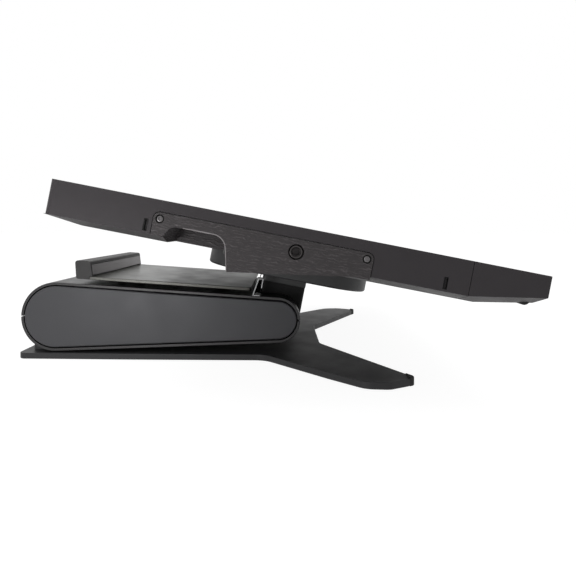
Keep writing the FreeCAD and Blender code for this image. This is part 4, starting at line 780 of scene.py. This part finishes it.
@dataclass
class BaseStand:
    """The steel base plate with its feet, caps, hinge pedestal and spring drums."""

    plate_edge: Edge = Edge.SOFT
    bracket_edge: Edge = Edge.EASED
    fitting_edge: Edge = Edge.CRISP

    def build(self) -> None:
        """Dress the base's pieces."""
        dress("base_plate", Palette.plate, self.plate_edge)
        dress("leg_tip_caps", Palette.rubber, self.bracket_edge)
        dress("base_feet", Palette.soft_rubber, self.fitting_edge)
        dress("hinge_pedestal", Palette.frame_black, self.bracket_edge)
        dress("lift_axle", Palette.steel, self.bracket_edge)
        dress("pedestal_screws", Palette.dark_steel, self.fitting_edge)
        dress("fixed_pulley", Palette.pulley, self.fitting_edge)
        dress("lift_springs", Palette.spring, self.fitting_edge)


@dataclass
class LiftArm:
    """The arm's shells, side covers, frame and timing belt, and the axle at its head."""

    shell_edge: Edge = Edge.EASED
    fitting_edge: Edge = Edge.CRISP
    inner_edge: Edge = Edge.SHARP

    def build(self) -> None:
        """Dress the arm's pieces."""
        dress("arm_upper_shell", Palette.arm_shell, self.shell_edge)
        dress("arm_lower_shell", Palette.arm_shell, self.shell_edge)
        for side in Side:
            dress(f"arm_side_cover_{side.word}", Palette.arm_cover, self.fitting_edge)
        dress("arm_frame", Palette.frame_black, self.fitting_edge)
        dress("arm_bushes", Palette.bronze, self.inner_edge)
        dress("timing_belt", Palette.belt, self.inner_edge)
        dress("head_axle", Palette.steel, self.shell_edge)
        dress("head_pulley", Palette.pulley, self.fitting_edge)


@dataclass
class Shelf:
    """The shelf over the arm with its lip, pad, posts and clips."""

    plate_edge: Edge = Edge.EASED
    lip_edge: Edge = Edge.SOFT
    fitting_edge: Edge = Edge.CRISP

    def build(self) -> None:
        """Dress the shelf's pieces."""
        dress("rear_shelf", Palette.shelf, self.plate_edge)
        dress("shelf_lip", Palette.lip, self.lip_edge)
        dress("lip_pad", Palette.pad, self.fitting_edge)
        dress("shelf_posts", Palette.dark_steel, self.fitting_edge)
        dress("shelf_clips", Palette.spring, self.fitting_edge)


@dataclass
class Neck:
    """The neck's bracket, cover, washers, spindle and nut."""

    cover_edge: Edge = Edge.EASED
    fitting_edge: Edge = Edge.CRISP
    washer_edge: Edge = Edge.SHARP

    def build(self) -> None:
        """Dress the neck's pieces."""
        dress("neck_cover", Palette.neck, self.cover_edge)
        dress("neck_bracket", Palette.frame_black, self.cover_edge)
        dress("tilt_washers", Palette.friction, self.washer_edge)
        dress("rotation_spindle", Palette.steel, self.fitting_edge)
        dress("spindle_nut", Palette.dark_steel, self.fitting_edge)


@dataclass(frozen=True)
class SlotLiner:
    """A thin near-black frame in an accessory slot, thick along its upper and rear sides: painted shade in
    the slot.
    """

    top: float = 92.2 * MM
    width: float = 3.2 * MM
    height: float = 9.3 * MM
    depth: float = 1.8 * MM
    fit: float = 0.03 * MM
    sunk: float = 0.05 * MM
    front_wall: float = 0.3 * MM
    rear_wall: float = 1.1 * MM
    lower_wall: float = 0.35 * MM
    upper_wall: float = 1.0 * MM

    def add(self, work: bmesh.types.BMesh, side: Side, face: float, along: float) -> None:
        """Add one slot's liner to a working mesh.

        Args:
            work: The working mesh.
            side: The side of the display that the slot is in.
            face: How far that side's face lies from the middle.
            along: The slot's middle along the display, in the head frame.
        """
        rear = along + self.width / 2 - self.fit
        front = along - self.width / 2 + self.fit
        high = self.top - self.fit
        low = self.top - self.height + self.fit
        outline = ((front, low), (rear, low), (rear, high), (front, high))
        hole_front = front + self.front_wall
        hole_rear = rear - self.rear_wall
        hole_low = low + self.lower_wall
        hole_high = high - self.upper_wall
        hole = ((hole_front, hole_low), (hole_rear, hole_low), (hole_rear, hole_high),
                (hole_front, hole_high))
        span = (side.value * (face - self.sunk), side.value * (face - self.depth + self.sunk))
        loops = [[work.verts.new(HEAD.matrix @ Vector((across, *corner))) for corner in loop]
                 for across in span for loop in (outline, hole)]
        outer_face, inner_face, outer_back, inner_back = loops
        for first, second in ((outer_face, inner_face), (inner_face, inner_back),
                              (inner_back, outer_back), (outer_back, outer_face)):
            join_loops(work, first, second)


@dataclass
class Display:
    """The display's case, screen, head housing and inner parts."""

    body: str = "display"
    half_width: float = 319.0 * MM
    slot_alongs: Point = (115.7 * MM, -110.3 * MM)
    # near-black slot frames: painted shade in the accessory slots
    liner: SlotLiner = SlotLiner()
    case_edge: Edge = Edge.EASED
    fitting_edge: Edge = Edge.CRISP
    inner_edge: Edge = Edge.SHARP

    def build(self) -> None:
        """Dress the display's pieces."""
        dress("side_housing", Palette.casing, self.case_edge)
        dress("front_end_cover", Palette.casing, self.case_edge)
        dress("back_cover", Palette.back, self.case_edge)
        dress("head_housing", Palette.hump, self.fitting_edge)
        dress("display_feet", Palette.rubber, self.case_edge)
        self.line_slots()
        self.dress_screen()
        self.dress_inside()

    def line_slots(self) -> None:
        """Line the four accessory slots in the housing's sides with near-black frames, as painted shade."""
        work = bmesh.new()
        for side in Side:
            for along in self.slot_alongs:
                self.liner.add(work, side, self.half_width, along)
        piece = from_bmesh("accessory_slot_painted_shade_liners", work, Palette.port)
        for polygon in piece.data.polygons:
            polygon.use_smooth = False
        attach(piece, self.body)

    def dress_screen(self) -> None:
        """Dress the glass, with its printed border set by the panel behind it."""
        low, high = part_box("lcd_panel")
        start = HEAD.inverse_point(Vector(low))
        end = HEAD.inverse_point(Vector(high))
        middle = HEAD.matrix @ ((start + end) / 2)
        half = ((end.x - start.x) / 2, (end.y - start.y) / 2)
        glass = replace(Palette.glass, middle=tuple(middle), half_size=half)
        dress("cover_glass", glass, self.fitting_edge)

    def dress_inside(self) -> None:
        """Dress what the case holds."""
        inside = {
            "lcd_panel": Palette.panel, "backlight_unit": Palette.sheet_metal,
            "pen_sensor_board": Palette.board, "chassis": Palette.sheet_metal,
            "mount_plate": Palette.sheet_metal, "mount_screws": Palette.steel,
            "rotation_hub": Palette.pulley, "key_boards": Palette.board, "main_board": Palette.board,
            "power_board": Palette.board, "port_block": Palette.port, "fan_housing": Palette.fan,
            "fan_rotor": Palette.fan, "power_button": Palette.key,
        }
        for node, finish in inside.items():
            dress(node, finish, self.inner_edge)


@dataclass(frozen=True)
class StarScrew:
    """A grip screw: a low domed head with a star recess, on a plain shank."""

    head: float = 2.4 * MM
    sunk: float = 0.45 * MM
    recess_share: float = 0.62
    recess_depth: float = 0.9 * MM
    recess_margin: float = 0.01 * MM
    crown_share: float = 0.86
    crown_drop: float = 0.05 * MM
    rim_drop: float = 0.35 * MM
    head_height: float = 0.8 * MM
    shank: float = 1.3 * MM
    shank_drop: float = 0.85 * MM
    length: float = 6 * MM
    star_points: int = 6
    star_pull: float = 0.17
    facets: int = 48

    def profile(self, face: float) -> list[Point]:
        """Give the screw's profile from axis to axis.

        Args:
            face: How far the grip's face lies from the middle.

        Returns:
            The radius and the height of each corner.
        """
        top = face - self.sunk
        recess = self.recess_share * self.head
        end = face - self.length
        return [(0, top - self.recess_depth), (recess, top - self.recess_depth), (recess, top),
                (self.crown_share * self.head, top - self.crown_drop), (self.head, top - self.rim_drop),
                (self.head, top - self.head_height), (self.shank, top - self.shank_drop),
                (self.shank, end), (0, end)]

    def add(self, work: bmesh.types.BMesh, face: float, place: Matrix) -> None:
        """Add the screw to a working mesh and pull its round recess into a star.

        Args:
            work: The working mesh.
            face: How far the grip's face lies from the middle.
            place: The screw's place.
        """
        start = len(work.verts)
        turned(work, self.profile(face), place, self.facets)
        work.verts.ensure_lookup_table()
        inverse = place.inverted()
        for point in work.verts[start:]:
            spot = inverse @ point.co
            radius = math.hypot(spot.x, spot.y)
            if abs(radius - self.recess_share * self.head) > self.recess_margin:
                continue
            angle = math.atan2(spot.y, spot.x)
            reach = 1 - self.star_pull * (1 - math.cos(self.star_points * angle))
            point.co = place @ Vector((spot.x * reach, spot.y * reach, spot.z))


@dataclass(frozen=True)
class ScrewCup:
    """A near-black cup that lines a grip screw's recess and slopes in to its head: painted shade in the
    recess.
    """

    well: float = 3.3 * MM
    well_gap: float = 0.03 * MM
    head_gap: float = 0.08 * MM
    sunk: float = 0.04 * MM
    rim_width: float = 0.2 * MM
    slope_depth: float = 0.9 * MM
    depth: float = 1.15 * MM
    facets: int = 40

    def profile(self, face: float, head: float) -> list[Point]:
        """Give the cup's profile as a closed loop.

        Args:
            face: How far the grip's face lies from the middle.
            head: The radius of the screw's head.

        Returns:
            The radius and the height of each corner.
        """
        rim = face - self.sunk
        outer = self.well - self.well_gap
        inner = head + self.head_gap
        return [(outer, rim - self.depth), (outer, rim), (outer - self.rim_width, rim),
                (inner, rim - self.slope_depth), (inner, rim - self.depth)]


@dataclass(frozen=True)
class ThreadedInsert:
    """A tripod insert: a rim, a groove, a flat collar and a countersunk, threaded blind bore."""

    radius: float = 5.9 * MM
    length: float = 10 * MM
    proud: float = 0.1 * MM
    rim_ease: float = 0.2 * MM
    rim_drop: float = 0.1 * MM
    rim_foot: float = 0.3 * MM
    groove_inset: float = 0.9 * MM
    groove_depth: float = 1.1 * MM
    collar_inset: float = 1.2 * MM
    collar_drop: float = 0.3 * MM
    collar_ease_inset: float = 1.5 * MM
    collar_ease_drop: float = 0.15 * MM
    bore: float = 2.8 * MM
    bore_depth: float = 9.0 * MM
    sink_width: float = 0.9 * MM
    sink_drop: float = 0.25 * MM
    sink_foot_width: float = 0.15 * MM
    sink_foot_drop: float = 1.3 * MM
    thread_start: float = 1.4 * MM
    thread_end: float = 1.0 * MM
    thread_pitch: float = 1.27 * MM
    thread_depth: float = 0.45 * MM
    crest_share: float = 0.3
    root_share: float = 0.65
    facets: int = 64

    def profile(self, face: float) -> list[Point]:
        """Give the insert's profile from the axis at its back to the axis at its bore's floor.

        Args:
            face: How far the grip's face lies from the middle.

        Returns:
            The radius and the height of each corner.
        """
        top = face + self.proud
        outer = self.radius
        bore = self.bore
        back = top - self.length
        floor = top - self.bore_depth
        corners = [(0, back), (outer, back), (outer, top - self.rim_foot),
                   (outer - self.rim_ease, top - self.rim_drop),
                   (outer - self.groove_inset, top - self.groove_depth),
                   (outer - self.collar_inset, top - self.collar_drop),
                   (outer - self.collar_ease_inset, top - self.collar_ease_drop),
                   (bore + self.sink_width, top - self.sink_drop),
                   (bore + self.sink_foot_width, top - self.sink_foot_drop)]
        turns = int((self.bore_depth - self.thread_start - self.thread_end) / self.thread_pitch)
        for turn in range(turns):
            level = top - self.thread_start - turn * self.thread_pitch
            corners += [(bore, level), (bore, level - self.crest_share * self.thread_pitch),
                        (bore + self.thread_depth, level - self.root_share * self.thread_pitch)]
        return corners + [(bore, floor), (0, floor)]


@dataclass
class SideGrips:
    """Both leather-grained grips with their screws, threaded inserts and express keys."""

    body: str = "display"
    face: float = 319.6 * MM
    keys_a_side: int = 4
    edge: Edge = Edge.CRISP
    screw: StarScrew = StarScrew()
    # near-black cups in the screw recesses: painted shade
    cup: ScrewCup = ScrewCup()
    insert: ThreadedInsert = ThreadedInsert()
    screw_alongs: Point = (105.9 * MM, -49.9 * MM)
    screw_up: float = 93.7 * MM
    insert_along: float = 2.5 * MM
    insert_up: float = 88.9 * MM
    arch_corners: tuple[Point, ...] = ((50.4 * MM, 65.4 * MM), (56.2 * MM, 90.2 * MM), (88 * MM, 90.2 * MM))
    arch_round: float = 11 * MM
    bead_radius: float = 0.5 * MM
    bead_sunk: float = 0.25 * MM
    screw_split: float = math.radians(40)
    ring_split: float = math.radians(30)

    def build(self) -> None:
        """Dress the grips and the keys, and make the screws, the painted-shade cups, the inserts and the
        beads with their painted highlight.
        """
        for side in Side:
            dress(f"grip_{side.word}", Palette.grip, self.edge)
            for number in range(1, self.keys_a_side + 1):
                dress(f"key_{side.word}_{number}", Palette.key, self.edge)
        self.make_screws()
        self.make_cups()
        self.make_inserts()
        self.make_arch_beads()

    def screw_places(self) -> list[Matrix]:
        """Give the places of the four grip screws."""
        return [side_place(along, self.screw_up, side) for side in Side for along in self.screw_alongs]

    def make_screws(self) -> None:
        """Make the four grip screws, each with a star recess in a domed head."""
        work = bmesh.new()
        for place in self.screw_places():
            self.screw.add(work, self.face, place)
        piece = from_bmesh("grip_star_screws", work, Palette.screw)
        split_edges(piece, self.screw_split)
        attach(piece, self.body)
        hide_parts("grip_screws")

    def make_cups(self) -> None:
        """Line the screws' recesses with near-black cups, as painted shade."""
        work = bmesh.new()
        for place in self.screw_places():
            turned(work, self.cup.profile(self.face, self.screw.head), place, self.cup.facets)
        piece = from_bmesh("grip_screw_painted_shade_cups", work, Palette.port)
        split_edges(piece, self.ring_split)
        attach(piece, self.body)

    def make_inserts(self) -> None:
        """Make the threaded insert in each grip."""
        work = bmesh.new()
        for side in Side:
            place = side_place(self.insert_along, self.insert_up, side)
            turned(work, self.insert.profile(self.face), place, self.insert.facets)
        piece = from_bmesh("tripod_inserts", work, Palette.insert)
        split_edges(piece, self.ring_split)
        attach(piece, self.body)
        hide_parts("threaded_inserts")

    def make_arch_beads(self) -> None:
        """Run a thin pale bead round each finger arch, from its rear end down to the horn's tip; its pale
        colour is a painted highlight along the arch's rim.
        """
        work = bmesh.new()
        path = rounded_path(self.arch_corners, self.arch_round)
        for side in Side:
            across = side.value * (self.face - self.bead_sunk)
            spots = [HEAD.matrix @ Vector((across, along, up)) for along, up in path]
            add_tube(work, spots, self.bead_radius)
        piece = from_bmesh("grip_arch_painted_highlight_beads", work, Palette.grip_edge)
        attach(piece, self.body)


@dataclass(frozen=True)
class SoftLamp:
    """A square area lamp, in metres and watts."""

    name: str
    place: Place
    target: Place
    size: float
    power: float

    def hang(self) -> None:
        """Add the lamp to the scene, turned to its target."""
        data = bpy.data.lights.new(self.name, "AREA")
        data.size = self.size
        data.energy = self.power
        lamp = bpy.data.objects.new(self.name, data)
        lamp.location = self.place
        aim = Vector(self.target) - Vector(self.place)
        lamp.rotation_euler = aim.to_track_quat("-Z", "Y").to_euler()
        bpy.context.scene.collection.objects.link(lamp)


@dataclass
class Studio:
    """The pale floor, the soft lights and the camera at the photograph's angle."""

    camera_place: Place = (-708 * MM, -48.25 * MM, 150 * MM)
    nearest_seen: float = 10 * MM
    focal_pixels: float = 526.8
    image_pixels: float = 576.0
    axis_pixel: Point = (280.0, 228.0)
    sensor: float = 36.0
    sky_level: float = 0.5
    floor_half: float = 12.0
    floor_grey: float = 0.8
    floor_roughness: float = 0.9
    floor_glow: float = 1.24
    floor_share: float = 0.75
    lamps: tuple[SoftLamp, ...] = (
        SoftLamp("overhead_lamp", (-0.3, 0.2, 1.5), (0, 0, 0), 1.6, 14),
        SoftLamp("side_lamp", (-1.5, 0.9, 0.5), (0, 0.1, 0.08), 1.0, 1.8),
        SoftLamp("low_lamp", (-0.5, 0.2, 0.02), (-0.1, 0.13, 0.02), 0.16, 0.9),
    )

    def build(self) -> None:
        """Make the camera, the floor, the sky and the lamps."""
        self.make_camera()
        self.make_floor()
        self.make_sky()
        for lamp in self.lamps:
            lamp.hang()
        LOG.info("studio made")

    def make_camera(self) -> None:
        """Set a level camera that looks along +X, shifted so that the optical axis is off the middle."""
        data = bpy.data.cameras.new("photo_camera")
        data.sensor_width = self.sensor
        data.lens = self.focal_pixels / self.image_pixels * self.sensor
        half = self.image_pixels / 2
        data.shift_x = (half - self.axis_pixel[0]) / self.image_pixels
        data.shift_y = -(half - self.axis_pixel[1]) / self.image_pixels
        data.clip_start = self.nearest_seen
        camera = bpy.data.objects.new("photo_camera", data)
        camera.location = self.camera_place
        camera.rotation_euler = (math.pi / 2, 0, -math.pi / 2)
        bpy.context.scene.collection.objects.link(camera)
        bpy.context.scene.camera = camera

    def make_floor(self) -> None:
        """Lay a large pale floor that shows white and keeps the object's soft shadow."""
        work = bmesh.new()
        bmesh.ops.create_grid(work, x_segments=1, y_segments=1, size=self.floor_half)
        mesh = bpy.data.meshes.new("studio_floor")
        work.to_mesh(mesh)
        work.free()
        floor = bpy.data.objects.new("studio_floor", mesh)
        bpy.context.scene.collection.objects.link(floor)
        floor.data.materials.append(self.floor_material())

    def floor_material(self) -> bpy.types.Material:
        """Mix a matt pale floor with a white glow that only the seen rays meet.

        Returns:
            The floor's material.
        """
        shader = Shader("studio_floor_white")
        shader.surface.inputs["Base Color"].default_value = (*[self.floor_grey] * 3, 1)
        shader.surface.inputs["Roughness"].default_value = self.floor_roughness
        shader.surface.inputs["Specular IOR Level"].default_value = 0.0
        glow = shader.node("ShaderNodeEmission")
        glow.inputs["Strength"].default_value = self.floor_glow
        mix = shader.node("ShaderNodeMixShader")
        share = shader.node("ShaderNodeMath", operation="MULTIPLY")
        share.inputs[1].default_value = self.floor_share
        shader.join(seen_rays(shader.tree), share.inputs[0])
        shader.join(share.outputs[0], mix.inputs["Fac"])
        shader.join(shader.surface.outputs[0], mix.inputs[1])
        shader.join(glow.outputs[0], mix.inputs[2])
        shader.join(mix.outputs[0], shader.tree.nodes["Material Output"].inputs["Surface"])
        return shader.material

    def make_sky(self) -> None:
        """Fill the sky with white for the camera and a plain soft light for the object."""
        world = bpy.data.worlds.new("studio_sky")
        world.use_nodes = True
        tree = world.node_tree
        background = tree.nodes["Background"]
        background.inputs["Color"].default_value = (1, 1, 1, 1)
        level = tree.nodes.new("ShaderNodeMapRange")
        level.inputs["To Min"].default_value = self.sky_level
        level.inputs["To Max"].default_value = 1.0
        tree.links.new(seen_rays(tree), level.inputs["Value"])
        tree.links.new(level.outputs["Result"], background.inputs["Strength"])
        bpy.context.scene.world = world


def seen_rays(tree: bpy.types.NodeTree) -> Socket:
    """Give 1 for the rays that show the background: camera, glossy and transmission rays.

    Args:
        tree: The node tree that gets the nodes.

    Returns:
        The value socket.
    """
    path = tree.nodes.new("ShaderNodeLightPath")
    total = path.outputs["Is Camera Ray"]
    for name in ("Is Glossy Ray", "Is Transmission Ray"):
        larger = tree.nodes.new("ShaderNodeMath")
        larger.operation = Joining.LARGER.value
        tree.links.new(total, larger.inputs[0])
        tree.links.new(path.outputs[name], larger.inputs[1])
        total = larger.outputs[0]
    return total


def main() -> None:
    """Build the studio and the object's sub-assemblies, in order."""
    logging.basicConfig(level=logging.INFO, format="%(name)s: %(message)s")
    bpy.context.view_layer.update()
    bpy.context.scene.view_settings.view_transform = "Standard"
    Studio().build()
    for assembly in (BaseStand(), LiftArm(), Shelf(), Neck(), Display(), SideGrips()):
        assembly.build()


if __name__ == "__main__":
    main()
